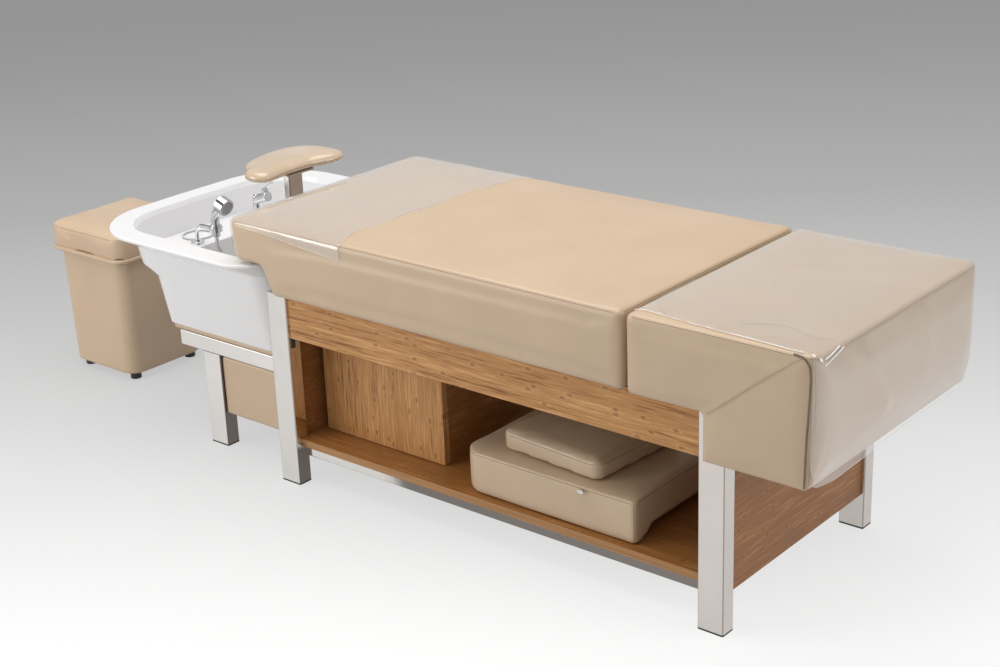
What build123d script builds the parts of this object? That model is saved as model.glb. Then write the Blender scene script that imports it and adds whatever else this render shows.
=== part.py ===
"""A hair washing bed: a steel and bamboo bed with a shelf and a cabinet under it, a basin on its own
stand at the head end with taps and a neck rest, a storage stool, and two loose cushions on the shelf.

Millimetres. X runs from the head (-X, basin and stool) to the foot (+X), Y across the bed, Z up.
The origin is on the floor, under the middle of the whole set. The near long side faces -Y.
Every place along X is counted from bed_head, the outer face of the bed's head legs.
"""

import math
import os

from build123d import *

os.makedirs("parts", exist_ok=True)

# Gaps and overruns shared by the whole object.
soft_gap = 0.3            # a cushion stands this far off what it rests on
fit_gap = 0.2             # loose fit between fixed pieces
slide_gap = 0.3           # between a sliding post and its sleeve
pin_gap = 0.08            # radial running gap of pins and turning caps
cut_over = 6.0            # how far every cutter runs past what it cuts
step_gap = 2.0            # a door or a lid edge to the board beside it

# Bed frame: rectangular polished tubes.
bed_length = 1237.8       # over the outer faces of the legs
bed_width = 600.4
deck_height = 475.0       # top of the legs, and of the deck board
leg_depth = 60.0          # leg tube, along the bed
leg_breadth = 38.0        # leg tube, across the bed
tube_wall = 1.5
tube_corner = 3.0
cap_height = 4.0          # black foot cap under each leg
cap_plug = 14.0
rail_height = 40.0        # upper rails and cross rails
rail_breadth = 16.0
cross_breadth = 20.0
low_rail_height = 23.2
low_rail_breadth = 20.0
low_rail_face = 276.5     # outer face of the lower rail, from the middle
head_rail_inset = 8.0     # head cross rail, from bed_head
apron_recess = 6.6
apron_thick = 15.0
apron_height = 103.7
deck_thick = 15.0
shelf_top = 112.8
board_thick = 18.0        # shelf, cabinet and end panels
shelf_half = 281.5
band_thick = 1.0          # light edge band on the shelf's long edges
foot_panel_recess = 9.8
foot_panel_bottom = 80.0
bracket_leg = 26.0        # angle brackets under the aprons
bracket_thick = 2.0
bracket_width = 12.0

# Cabinet under the head half, with a door that turns on two pins.
cabinet_head_inset = 66.0
cabinet_length = 369.0
cabinet_near = 182.0      # front edges of its side panels
cabinet_far = 200.0
door_thick = 18.0
pivot_inset = 9.0         # the door's pins, from its head edge
pivot_relief = 5.0        # the head side panel stands back by this for the turning edge
pivot_radius = 3.0
pivot_reach = 11.0
cabinet_top_thick = 15.0
knob_hole_radius = 1.5
knob_hole_inset = 17.0
knob_hole_drop = 26.0
knob_hole_depth = 9.0
catch_length = 40.0
catch_depth = 14.0
catch_height = 12.0
catch_drop = 16.0
plate_thick = 1.5

# Cushions of the bed.
cushion_width = 649.2
cushion_top = 641.5       # at the seams
cushion_crown = 3.0
cushion_draw = 2.0        # how far the sides draw in between the corners
cushion_edge = 9.0        # rounding along the top edges
main_head_reach = 93.0    # top head edge, ahead of bed_head
main_head_rake = 21.0     # the head face leans in by this at the notch
main_head_corner = 30.0
notch_height = 546.0      # underside over the basin's rim
notch_inset = 8.0
notch_foot_inset = 42.0
main_foot_inset = 1016.5
cushion_corner = 12.0
joint_gap = 5.5           # between the two cushions
foot_bulge_reach = 212.2  # the foot face's fullest point, beyond bed_foot
foot_top_reach = 202.0
foot_low_reach = 189.2
foot_bulge_height = 560.0
foot_drop = 375.0         # bottom of the part that hangs past the legs
foot_corner = 40.0
flap_inset = 37.8         # the side flaps start this far inside bed_foot
leg_clear = 0.7           # the hanging part to the legs

# Clear protective films over the two ends.
film_thick = 1.0
film_gap = 0.4
film_hem = 16.5           # foot film's flap down the far long side
head_flap_front = 10.5    # head film's side flaps, by the head corner
head_flap_back = 39.5     # and at the back edge
head_film_drop = 82.0
head_film_reach = 388.0   # from the head face to the waved back edge, at its deepest
foot_film_hem = 366.0

# Basin stand.
stand_head_reach = 388.0
stand_half = 247.0
stand_leg_reach = 309.6
stand_rail_bottom = 243.6
stand_rail_height = 40.4
stand_rail_breadth = 38.0
stand_foot_inset = 20.0
stand_cross_breadth = 20.0
basin_board_reach = 412.0
basin_board_thick = 14.0
skirt_bottom = 88.0
skirt_height = 151.0
skirt_thick = 12.0
skirt_face = 240.0
link_height = 30.0

# Basin: one white moulding with a flat rim, a tap deck and a deep bowl.
rim_top = 537.0
rim_lip = 7.0
rim_reach = 612.0
rim_bow = 12.0
rim_half = 347.0
rim_head_corner = 195.0
rim_foot_corner = 100.0
rim_band = 57.0
rim_clear = 1.0           # the rim's foot edge to bed_head
basin_floor_thick = 10.0
collar_drop = 37.0        # from the rim's top to where the tub's outer wall meets its underside
collar_reach = 560.0
collar_clear = 5.0
collar_half = 297.0
collar_head_corner = 165.0
collar_foot_corner = 62.0
waist_drop = 14.0         # from the tap deck to the bottom of the upright wall round it
waist_reach = 548.0
waist_clear = 8.0
waist_half = 285.0
waist_head_corner = 150.0
waist_foot_corner = 60.0
shoulder_drop = 36.0      # from the tap deck to where its underside runs in
shoulder_reach = 476.0
shoulder_clear = 10.0
shoulder_half = 280.0
shoulder_head_corner = 110.0
shoulder_foot_corner = 60.0
base_reach = 438.0
base_clear = 20.0
base_half = 250.0
base_head_corner = 40.0
base_foot_corner = 50.0
mouth_head_corner = 140.0 # inner edge of the rim's flat band
mouth_foot_corner = 56.0
throat_drop = 12.0        # the lip's round ends this far below the rim
throat_inset = 5.0
tray_reach = 543.0        # inside, at the level of the tap deck
tray_clear = 46.0
tray_half = 279.0
tray_head_corner = 136.0
tray_foot_corner = 48.0
bowl_clear = 42.0         # inside, on the bowl's floor
bowl_half = 241.0
bowl_head_corner = 60.0
bowl_foot_corner = 44.0
tap_deck_drop = 77.0      # from the rim's top to the tap deck
tap_deck_edge = 417.0
tap_deck_thick = 18.0
recess_half = 150.0
recess_skin = 10.0
drain_reach = 230.0
drain_radius = 22.0

# Taps.
tap_offset = 112.0
holder_reach = 450.0
ring_reach = 376.0
holder_base_radius = 17.0
holder_base_height = 6.0
holder_arm_radius = 5.0
holder_elbow_rise = 28.0
holder_ring_rise = 44.0   # over the tap deck
holder_ring_height = 12.0
holder_ring_radius = 17.0
holder_bore_radius = 12.0
shank_radius = 6.0
nut_radius = 12.0
nut_height = 8.0
handle_radius = 11.0
handle_collar_radius = 14.5
collar_thick = 4.0
handle_straight = 30.0
handle_lean = 26.0
handle_rise = 34.0
spray_radius = 22.0
spray_length = 26.0
spray_tilt = 20.0         # degrees below level
face_radius = 18.5
face_thick = 2.0
swivel_radius = 9.5
swivel_height = 14.0
mixer_reach = 465.0
mixer_offset = 110.0
mixer_base_radius = 23.0
mixer_base_height = 6.0
mixer_column_radius = 10.0
mixer_rise = 62.0         # top of its column over the tap deck
barrel_rise = 55.0
barrel_radius = 13.0
barrel_length = 34.0
barrel_tilt = 20.0        # degrees above level
mixer_shank_radius = 14.0
mixer_nut_radius = 21.0
cap_radius = 13.6
cap_length = 15.0
cap_spindle_radius = 5.0
cap_spindle_length = 10.0
ear_thick = 3.0
ear_length = 10.0
lever_hub_radius = 5.0
lever_pin_radius = 2.0
lever_width = 9.0
lever_length = 40.0
lever_thick = 4.0
lever_rest_tilt = 14.0    # degrees above the barrel's own line
inlet_radius = 5.0
inlet_spread = 7.0
inlet_length = 44.0
deck_ring_reach = 497.0
deck_ring_offset = 71.0
deck_ring_radius = 38.0
deck_ring_wire = 2.5

# Hose from the outlet in the bowl's head wall to the hand shower.
hose_radius = 5.5
outlet_offset = 60.0
outlet_rise_share = 0.5055 # of the rise from the bowl's floor to the hand shower's swivel nut
outlet_flange_radius = 15.0
outlet_flange_thick = 4.0
outlet_nipple_radius = 8.0
outlet_nipple_length = 32.0
outlet_tail_radius = 9.0
outlet_tail_length = 14.0
link_pipe_radius = 5.0
link_pipe_bend = 14.0
link_pipe_spread = 9.0    # its start, beside the inlet tails

# Drain and trap.
flange_radius = 36.0
flange_thick = 3.0
flange_taper = 23.0
drain_tail_length = 62.0
drain_tail_wall = 2.5
drain_nut_radius = 32.0
drain_nut_height = 10.0
strainer_thick = 3.0
strainer_knob_radius = 5.0
strainer_knob_height = 9.0
strainer_hole_radius = 2.2
strainer_hole_ring = 12.0
trap_radius = 36.0
trap_height = 86.0
trap_wall = 3.0
trap_outlet_radius = 20.0
trap_outlet_length = 60.0
trap_outlet_drop = 46.0
trap_collar_length = 10.0
trap_outlet_turn = 24.0   # degrees from the bed's length, towards the near side

# Neck rest on a post that slides in a sleeve.
arm_thick = 6.0
arm_width = 64.0
arm_clear = 1.4           # over the rim, and under the cushion's notch
arm_tongue_drop = 112.0
post_reach = 202.0
post_depth = 20.0
post_breadth = 46.0
sleeve_wall = 3.0
sleeve_bottom = 505.0
sleeve_top = 585.0
sleeve_overhang = 12.0
post_top = 657.0
post_lift_clear = 3.0
pad_plate_thick = 4.0
pad_plate_depth = 60.0
pad_plate_breadth = 90.0
pad_depth = 172.0
pad_breadth = 297.0
pad_thick = 29.0
pad_edge = 11.0
pad_middle_reach = 235.8  # middle of the pad's depth, ahead of bed_head
pad_middle_shift = 5.5
pad_board_thick = 6.0
pad_board_share = 0.8
stud_radius = 4.0
grip_radius = 15.0
grip_length = 18.0
grip_height = 560.0
bolt_radius = 4.0
bolt_head_radius = 7.0
bolt_head_height = 4.0
bolt_spacing = 30.0

# Storage stool.
stool_reach = 1057.0      # its far face, ahead of bed_head
stool_side = 308.0
stool_shift = 15.0
stool_height = 430.0
lid_bottom = 345.0
lid_board_thick = 12.0
lid_lip = 10.0
lid_crown = 8.0
stool_body_top = 272.0
stool_body_low = 262.0
stool_corner = 40.0
stool_wall = 12.0
stool_foot_height = 20.0
stool_foot_radius = 15.0
stool_foot_inset = 34.0

# Loose cushions on the shelf.
filler_start_share = 0.1278  # of the bay between the cabinet and the foot panel
filler_length_share = 0.6090
filler_near = 271.0
filler_far = 250.0
filler_edge_height = 97.0
filler_crown = 6.0
filler_foot = 26.0
filler_arch = 18.0
filler_arch_run = 45.0
filler_corner = 56.0
filler_square_corner = 8.0
pillow_length = 287.0
pillow_width = 290.0
pillow_thick = 51.0
pillow_lag = 1.0          # its middle, short of the filler cushion's middle
pillow_shift = -92.0
pillow_turn = -4.5        # degrees
pillow_corner = 28.0
pillow_edge = 16.0
pillow_crown = 6.0
zip_place_share = 0.716   # of the filler cushion's length, from its head end
zip_length = 16.0
zip_width = 8.0
zip_thick = 3.0

# Stations worked out from the sizes above.
foot_reach = bed_length + foot_bulge_reach + film_gap + film_thick
bed_head = (stool_reach - foot_reach) / 2
bed_foot = bed_head + bed_length
half_bed = bed_width / 2
half_cushion = cushion_width / 2
leg_inner = half_bed - leg_breadth
apron_face = half_bed - apron_recess
apron_back = apron_face - apron_thick
apron_bottom = deck_height - apron_height
deck_under = deck_height - deck_thick
span_head = bed_head + leg_depth
span_foot = bed_foot - leg_depth
span_length = span_foot - span_head
span_middle = (span_head + span_foot) / 2
shelf_under = shelf_top - board_thick
low_rail_bottom = shelf_under - low_rail_height
head_rail_head = bed_head + head_rail_inset
head_panel_head = head_rail_head + cross_breadth
head_panel_foot = head_panel_head + board_thick
foot_panel_foot = bed_foot - foot_panel_recess
foot_panel_head = foot_panel_foot - board_thick
seat_board_top = stand_rail_bottom + stand_rail_height + basin_board_thick
basin_floor = seat_board_top + basin_floor_thick
tap_deck_height = rim_top - tap_deck_drop
collar_height = rim_top - collar_drop
waist_height = tap_deck_height - waist_drop
shoulder_height = tap_deck_height - shoulder_drop
holder_ring_bottom = tap_deck_height + holder_ring_rise
mixer_top = tap_deck_height + mixer_rise
barrel_height = tap_deck_height + barrel_rise
hose_rise = holder_ring_bottom - swivel_height - basin_floor
outlet_height = basin_floor + outlet_rise_share * hose_rise
bay_head = bed_head + cabinet_head_inset + cabinet_length
bay_length = foot_panel_head - bay_head
filler_head = bay_head + filler_start_share * bay_length
filler_length = filler_length_share * bay_length

# Share tables: outlines in shares of the sizes they follow.
head_film_back_shares = (
    (-0.5, 0.941), (-0.448, 0.906), (-0.356, 0.874), (-0.321, 0.897), (-0.229, 0.909), (0.022, 0.923),
    (0.184, 0.925), (0.331, 0.955), (0.433, 0.976), (0.5, 1.0),
)
foot_film_near_shares = ((0.0, 0.905), (0.375, 0.931), (0.733, 0.95), (0.858, 0.963), (1.0, 0.97))
pad_outline_shares = (
    (-0.041, -0.423), (0.244, -0.498), (0.422, -0.449), (0.424, -0.305), (0.384, -0.086), (0.410, 0.150),
    (0.494, 0.335), (0.448, 0.456), (0.180, 0.498), (-0.157, 0.466), (-0.413, 0.332), (-0.5, 0.133),
    (-0.436, -0.106), (-0.285, -0.301),
)

# Hose route from the outlet to the hand shower: millimetres along from bed_head and across, and the
# height as a share of the rise from the bowl's floor to the swivel nut.
hose_route = (
    (-385, -60, 0.5055), (-345, -60, 0.5055), (-304, -55, 0.2967), (-258, -66, 0.1099),
    (-196, -86, 0.0385), (-136, -116, 0.0385), (-112, -168, 0.0385), (-150, -210, 0.0385),
    (-216, -214, 0.0385), (-276, -196, 0.0769), (-322, -164, 0.2033), (-341, -133, 0.4176),
    (-350, -117, 0.6154), (-363, -112, 0.7582), (-376, -112, 0.8791), (-376, -112, 1.0),
)


def finish(builder: BuildPart, name: str) -> None:
    """Label a sub-part and write it to its own file."""
    builder.part.label = name
    export_step(builder.part, f"parts/{name}.step")


def plan_outline(head_x, foot_x, half_y, head_corner, foot_corner, draw, middle_y=0.0, height=0.0):
    """A four-sided plan outline with rounded corners and edges that draw in between them."""
    middle_x = (head_x + foot_x) / 2
    near, far = middle_y - half_y, middle_y + half_y
    with BuildSketch(Plane.XY.offset(height)) as outline:
        with BuildLine():
            ThreePointArc((head_x, near), (middle_x, near + draw), (foot_x, near))
            ThreePointArc((foot_x, near), (foot_x - draw, middle_y), (foot_x, far))
            ThreePointArc((foot_x, far), (middle_x, far - draw), (head_x, far))
            ThreePointArc((head_x, far), (head_x + draw, middle_y), (head_x, near))
        make_face()
        fillet(outline.vertices().group_by(Axis.X)[0], radius=head_corner)
        fillet(outline.vertices().group_by(Axis.X)[-1], radius=foot_corner)
    return outline.sketch


def cross_outline(half_y, bottom, top, crown, corner, plane):
    """A cushion's section across the bed: a crowned top with rounded top corners."""
    with BuildSketch(plane) as outline:
        with BuildLine():
            Polyline((-half_y, top), (-half_y, bottom), (half_y, bottom), (half_y, top))
            ThreePointArc((half_y, top), (0.0, top + crown), (-half_y, top))
        make_face()
        fillet(outline.vertices().group_by(Axis.Y)[-1], radius=corner)
    return outline.sketch


def main_side_outline(grow):
    """The main cushion's side outline, with its notch over the basin's rim, grown by a film's gap."""
    top = cushion_top + grow
    head, foot = bed_head - main_head_reach - grow, bed_head + main_foot_inset + grow
    notch_head = bed_head - main_head_reach + main_head_rake - grow
    with BuildSketch(Plane.XZ) as outline:
        with BuildLine():
            ThreePointArc((head, top), ((head + foot) / 2, top + cushion_crown), (foot, top))
            Polyline(
                (foot, top),
                (foot, deck_height + soft_gap),
                (bed_head + notch_foot_inset, deck_height + soft_gap),
                (bed_head + notch_inset, notch_height),
                (notch_head, notch_height),
                (head, top),
            )
        make_face()
        fillet(outline.vertices().group_by(Axis.Y)[-1], radius=cushion_edge)
    return outline.sketch


def foot_side_outline(grow):
    """The foot cushion's side outline, which bulges at the foot end, grown by a film's gap."""
    top = cushion_top + grow
    head = bed_head + main_foot_inset + joint_gap - grow
    with BuildSketch(Plane.XZ) as outline:
        with BuildLine():
            Line((head, top), (bed_foot + foot_top_reach + grow, top))
            ThreePointArc(
                (bed_foot + foot_top_reach + grow, top),
                (bed_foot + foot_bulge_reach + grow, foot_bulge_height),
                (bed_foot + foot_low_reach + grow, foot_drop),
            )
            Polyline((bed_foot + foot_low_reach + grow, foot_drop), (head, foot_drop), (head, top))
        make_face()
        fillet(outline.vertices().group_by(Axis.Y)[-1], radius=cushion_edge)
    return outline.sketch


def film_cross_outline(grow, bottom):
    """The section across the bed that both bed cushions and their films share."""
    return cross_outline(
        half_cushion + grow, bottom, cushion_top + grow, cushion_crown, cushion_edge, Plane.YZ
    )


def basin_outline(height, head_reach, foot_clear, half_y, head_corner, foot_corner, bow):
    """One level section of the basin: its head edge bows out, and its four corners are round."""
    head_x, foot_x = bed_head - head_reach, bed_head - foot_clear
    with BuildSketch(Plane.XY.offset(height)) as outline:
        with BuildLine():
            Polyline((head_x, -half_y), (foot_x, -half_y), (foot_x, half_y), (head_x, half_y))
            ThreePointArc((head_x, half_y), (head_x - bow, 0.0), (head_x, -half_y))
        make_face()
        fillet(outline.vertices().group_by(Axis.X)[0], radius=head_corner)
        fillet(outline.vertices().group_by(Axis.X)[-1], radius=foot_corner)
    return outline.sketch


def tube_outline(plane, long_side, short_side, bore=False):
    """A rectangular tube's section in the middle of a plane, or the bore inside it."""
    inset = tube_wall if bore else 0.0
    with BuildSketch(plane) as outline:
        RectangleRounded(long_side - 2 * inset, short_side - 2 * inset, tube_corner - inset / 2)
    return outline.sketch


# Legs of the bed: closed at the top, with a black cap in the foot of each.
leg_y = half_bed - leg_breadth / 2
head_leg_places = [(bed_head + leg_depth / 2, -leg_y), (bed_head + leg_depth / 2, leg_y)]
foot_leg_places = [(bed_foot - leg_depth / 2, -leg_y), (bed_foot - leg_depth / 2, leg_y)]
for legs_name, leg_places in (("bed_head_legs", head_leg_places), ("bed_foot_legs", foot_leg_places)):
    with BuildPart() as bed_legs:
        for leg_place in leg_places:
            leg_plane = Plane((*leg_place, cap_height))
            extrude(tube_outline(leg_plane, leg_depth, leg_breadth), amount=deck_height - cap_height)
            extrude(
                tube_outline(leg_plane, leg_depth, leg_breadth, bore=True),
                amount=deck_height - cap_height - tube_wall,
                mode=Mode.SUBTRACT,
            )
    finish(bed_legs, legs_name)

stand_leg_x = bed_head - stand_leg_reach + leg_depth / 2
stand_leg_y = stand_half - leg_breadth / 2
stand_leg_places = [(stand_leg_x, -stand_leg_y), (stand_leg_x, stand_leg_y)]
with BuildPart() as stand_legs:
    for leg_place in stand_leg_places:
        leg_plane = Plane((*leg_place, cap_height))
        extrude(tube_outline(leg_plane, leg_depth, leg_breadth), amount=stand_rail_bottom - cap_height)
        extrude(
            tube_outline(leg_plane, leg_depth, leg_breadth, bore=True),
            amount=stand_rail_bottom - cap_height,
            mode=Mode.SUBTRACT,
        )
finish(stand_legs, "basin_stand_legs")

with BuildPart() as foot_caps:
    with BuildSketch():
        with Locations(*head_leg_places, *foot_leg_places, *stand_leg_places):
            RectangleRounded(leg_depth, leg_breadth, tube_corner)
    extrude(amount=cap_height)
    with BuildSketch(Plane.XY.offset(cap_height)):
        with Locations(*head_leg_places, *foot_leg_places, *stand_leg_places):
            RectangleRounded(
                leg_depth - 2 * tube_wall - 2 * fit_gap,
                leg_breadth - 2 * tube_wall - 2 * fit_gap,
                tube_corner - tube_wall / 2,
            )
    extrude(amount=cap_plug)
finish(foot_caps, "leg_foot_caps")

# Upper rails behind the aprons, and the cross rails between the legs.
upper_rail_y = leg_inner + rail_breadth / 2
rail_middle_z = deck_under - rail_height / 2
cross_places = (head_rail_head + cross_breadth / 2, span_middle, foot_panel_head - cross_breadth / 2)
with BuildPart() as upper_rails:
    for side in (-1, 1):
        rail_plane = Plane(
            origin=(span_head, side * upper_rail_y, rail_middle_z), x_dir=(0, 1, 0), z_dir=(1, 0, 0)
        )
        extrude(tube_outline(rail_plane, rail_breadth, rail_height), amount=span_length)
        extrude(
            tube_outline(rail_plane, rail_breadth, rail_height, bore=True),
            amount=span_length,
            mode=Mode.SUBTRACT,
        )
    for cross_x in cross_places:
        rail_plane = Plane(
            origin=(cross_x, -leg_inner, rail_middle_z), x_dir=(1, 0, 0), z_dir=(0, 1, 0)
        )
        extrude(tube_outline(rail_plane, cross_breadth, rail_height), amount=2 * leg_inner)
        extrude(
            tube_outline(rail_plane, cross_breadth, rail_height, bore=True),
            amount=2 * leg_inner,
            mode=Mode.SUBTRACT,
        )
finish(upper_rails, "upper_rails")

# Lower rails under the shelf.
low_rail_y = low_rail_face - low_rail_breadth / 2
low_rail_middle = low_rail_bottom + low_rail_height / 2
low_cross_half = low_rail_face - low_rail_breadth
low_cross_places = (span_head + cross_breadth, span_middle, span_foot - cross_breadth)
with BuildPart() as lower_rails:
    for side in (-1, 1):
        rail_plane = Plane(
            origin=(span_head, side * low_rail_y, low_rail_middle), x_dir=(0, 1, 0), z_dir=(1, 0, 0)
        )
        extrude(tube_outline(rail_plane, low_rail_breadth, low_rail_height), amount=span_length)
        extrude(
            tube_outline(rail_plane, low_rail_breadth, low_rail_height, bore=True),
            amount=span_length,
            mode=Mode.SUBTRACT,
        )
    for cross_x in low_cross_places:
        rail_plane = Plane(
            origin=(cross_x, -low_cross_half, low_rail_middle), x_dir=(1, 0, 0), z_dir=(0, 1, 0)
        )
        extrude(tube_outline(rail_plane, cross_breadth, low_rail_height), amount=2 * low_cross_half)
        extrude(
            tube_outline(rail_plane, cross_breadth, low_rail_height, bore=True),
            amount=2 * low_cross_half,
            mode=Mode.SUBTRACT,
        )
finish(lower_rails, "lower_rails")

# Bamboo aprons between the legs, with a small angle bracket under each end.
for side, apron_name in ((-1, "apron_near"), (1, "apron_far")):
    with BuildPart() as apron:
        with BuildSketch(Plane.XY.offset(apron_bottom)):
            with Locations((span_middle, side * (apron_face - apron_thick / 2))):
                Rectangle(span_length, apron_thick)
        extrude(amount=apron_height)
        fillet(apron.edges().filter_by(Axis.X).group_by(Axis.Z)[0], radius=band_thick)
    finish(apron, apron_name)

with BuildPart() as apron_brackets:
    for side in (-1, 1):
        for leg_face, way in ((span_head, 1), (span_foot, -1)):
            with BuildSketch(Plane.XZ.offset(-side * (apron_back + apron_thick / 2) - bracket_width / 2)):
                with BuildLine():
                    Polyline(
                        (leg_face, apron_bottom),
                        (leg_face + way * bracket_leg, apron_bottom),
                        (leg_face + way * bracket_leg, apron_bottom - bracket_thick),
                        (leg_face + way * bracket_thick, apron_bottom - bracket_thick),
                        (leg_face + way * bracket_thick, apron_bottom - bracket_leg),
                        (leg_face, apron_bottom - bracket_leg),
                        close=True,
                    )
                make_face()
            extrude(amount=bracket_width)
finish(apron_brackets, "apron_corner_brackets")

# Deck board under the cushions, shelf with its edge bands, end panels.
deck_head = head_rail_head + band_thick
with BuildPart() as deck_board:
    with BuildSketch(Plane.XY.offset(deck_under)):
        with Locations(((deck_head + bed_foot - band_thick) / 2, 0)):
            Rectangle(bed_foot - band_thick - deck_head, 2 * (leg_inner - fit_gap))
        with Locations((span_middle, 0)):
            Rectangle(span_length - 2 * fit_gap, 2 * (apron_back - fit_gap))
    extrude(amount=deck_thick)
finish(deck_board, "deck_board")

with BuildPart() as shelf_board:
    with BuildSketch(Plane.XY.offset(shelf_under)):
        with Locations(((head_panel_foot + foot_panel_head) / 2, 0)):
            Rectangle(foot_panel_head - head_panel_foot - 2 * fit_gap, 2 * (leg_inner - fit_gap))
        with Locations((span_middle, 0)):
            Rectangle(span_length - 2 * fit_gap, 2 * (shelf_half - band_thick))
    extrude(amount=board_thick)
    with BuildSketch(Plane.XY.offset(shelf_top)):
        with Locations((bed_head + cabinet_head_inset + pivot_inset, -cabinet_near - door_thick / 2)):
            Circle(pivot_radius + pin_gap)
    extrude(amount=-pivot_reach - band_thick, mode=Mode.SUBTRACT)
finish(shelf_board, "shelf_board")

with BuildPart() as shelf_edge_bands:
    with BuildSketch(Plane.XY.offset(shelf_under)):
        with Locations(
            (span_middle, -shelf_half + band_thick / 2), (span_middle, shelf_half - band_thick / 2)
        ):
            Rectangle(span_length - 2 * fit_gap, band_thick)
    extrude(amount=board_thick)
finish(shelf_edge_bands, "shelf_edge_bands")

with BuildPart() as head_panel:
    with BuildSketch(Plane.YZ.offset(head_panel_head)):
        with Locations((0, (low_rail_bottom + deck_under) / 2)):
            Rectangle(2 * (leg_inner - fit_gap), deck_under - low_rail_bottom)
    extrude(amount=board_thick)
finish(head_panel, "head_end_panel")

with BuildPart() as foot_panel:
    with BuildSketch(Plane.YZ.offset(foot_panel_head)):
        with Locations((0, (foot_panel_bottom + deck_under) / 2)):
            Rectangle(2 * (leg_inner - fit_gap), deck_under - foot_panel_bottom)
    extrude(amount=board_thick)
finish(foot_panel, "foot_end_panel")

# Cabinet on the shelf: two sides, a back and a top, and a door on two upright pins.
cabinet_head = bed_head + cabinet_head_inset
cabinet_foot = cabinet_head + cabinet_length
cabinet_mid_x = (cabinet_head + cabinet_foot) / 2
cabinet_height = apron_bottom - shelf_top
pivot_x = cabinet_head + pivot_inset
pivot_y = -cabinet_near - door_thick / 2
with BuildPart() as cabinet_panels:
    with BuildSketch(Plane.XY.offset(shelf_top)):
        with Locations((cabinet_head + board_thick / 2, (cabinet_far - cabinet_near + pivot_relief) / 2)):
            Rectangle(board_thick, cabinet_far + cabinet_near - pivot_relief)
        with Locations((cabinet_foot - board_thick / 2, (cabinet_far - cabinet_near) / 2)):
            Rectangle(board_thick, cabinet_far + cabinet_near)
    with BuildSketch(Plane.XY.offset(shelf_top)):
        with Locations((cabinet_mid_x, cabinet_far - board_thick / 2)):
            Rectangle(cabinet_length - 2 * board_thick - 2 * fit_gap, board_thick)
    extrude(amount=cabinet_height)
finish(cabinet_panels, "cabinet_panels")

with BuildPart() as cabinet_top:
    with BuildSketch(Plane.XY.offset(apron_bottom)):
        with Locations((cabinet_mid_x, (cabinet_far - cabinet_near - door_thick) / 2)):
            Rectangle(cabinet_length, cabinet_far + cabinet_near + door_thick)
    extrude(amount=cabinet_top_thick)
    with BuildSketch(Plane.XY.offset(apron_bottom)):
        with Locations((pivot_x, pivot_y)):
            Circle(pivot_radius + pin_gap)
    extrude(amount=pivot_reach + band_thick, mode=Mode.SUBTRACT)
finish(cabinet_top, "cabinet_top_panel")

door_bottom = shelf_top + step_gap
door_top = apron_bottom - step_gap
door_height = door_top - door_bottom
with BuildPart() as cabinet_door:
    with BuildSketch(Plane.XY.offset(door_bottom)):
        with Locations((cabinet_mid_x, -cabinet_near - door_thick / 2)):
            Rectangle(cabinet_length, door_thick)
    extrude(amount=door_height)
    with BuildSketch(Plane.XZ.offset(cabinet_near + door_thick)):
        with Locations((cabinet_foot - knob_hole_inset, door_top - knob_hole_drop)):
            Circle(knob_hole_radius)
    extrude(amount=-knob_hole_depth, mode=Mode.SUBTRACT)
    with BuildSketch(Plane.XY.offset(door_bottom)):
        with Locations((pivot_x, pivot_y)):
            Circle(pivot_radius)
    extrude(amount=pivot_reach, mode=Mode.SUBTRACT)
    with BuildSketch(Plane.XY.offset(door_top)):
        with Locations((pivot_x, pivot_y)):
            Circle(pivot_radius)
    extrude(amount=-pivot_reach, mode=Mode.SUBTRACT)
finish(cabinet_door, "cabinet_door")

with BuildPart() as door_pins:
    with BuildSketch(Plane.XY.offset(shelf_top - pivot_reach)):
        with Locations((pivot_x, pivot_y)):
            Circle(pivot_radius)
    extrude(amount=2 * pivot_reach + step_gap)
    with BuildSketch(Plane.XY.offset(door_top - pivot_reach)):
        with Locations((pivot_x, pivot_y)):
            Circle(pivot_radius)
    extrude(amount=2 * pivot_reach + step_gap)
finish(door_pins, "door_pivot_pins")

catch_z = door_top - catch_drop
with BuildPart() as magnet_catch:
    with BuildSketch(Plane.XY.offset(catch_z - catch_height)):
        with Locations(
            (cabinet_foot - board_thick - catch_depth / 2, -cabinet_near + catch_length / 2 + plate_thick)
        ):
            Rectangle(catch_depth, catch_length)
    extrude(amount=catch_height)
finish(magnet_catch, "magnet_catch")

with BuildPart() as catch_plate:
    with BuildSketch(Plane.XY.offset(catch_z - catch_height)):
        with Locations((cabinet_foot - board_thick - catch_depth / 2, -cabinet_near + plate_thick / 2)):
            Rectangle(catch_depth - plate_thick, plate_thick - fit_gap)
    extrude(amount=catch_height)
finish(catch_plate, "door_catch_plate")

# Main cushion: crowned, drawn in at the sides, notched over the basin's rim.
main_head = bed_head - main_head_reach
main_foot = bed_head + main_foot_inset
tall = cushion_top + cushion_crown + cut_over
with BuildPart() as main_cushion:
    extrude(main_side_outline(0.0), amount=half_cushion, both=True)
    extrude(
        plan_outline(main_head, main_foot, half_cushion, main_head_corner, cushion_corner, cushion_draw),
        amount=tall,
        mode=Mode.INTERSECT,
    )
    extrude(
        film_cross_outline(0.0, deck_height), amount=bed_length, both=True, mode=Mode.INTERSECT
    )
finish(main_cushion, "main_cushion")

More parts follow.
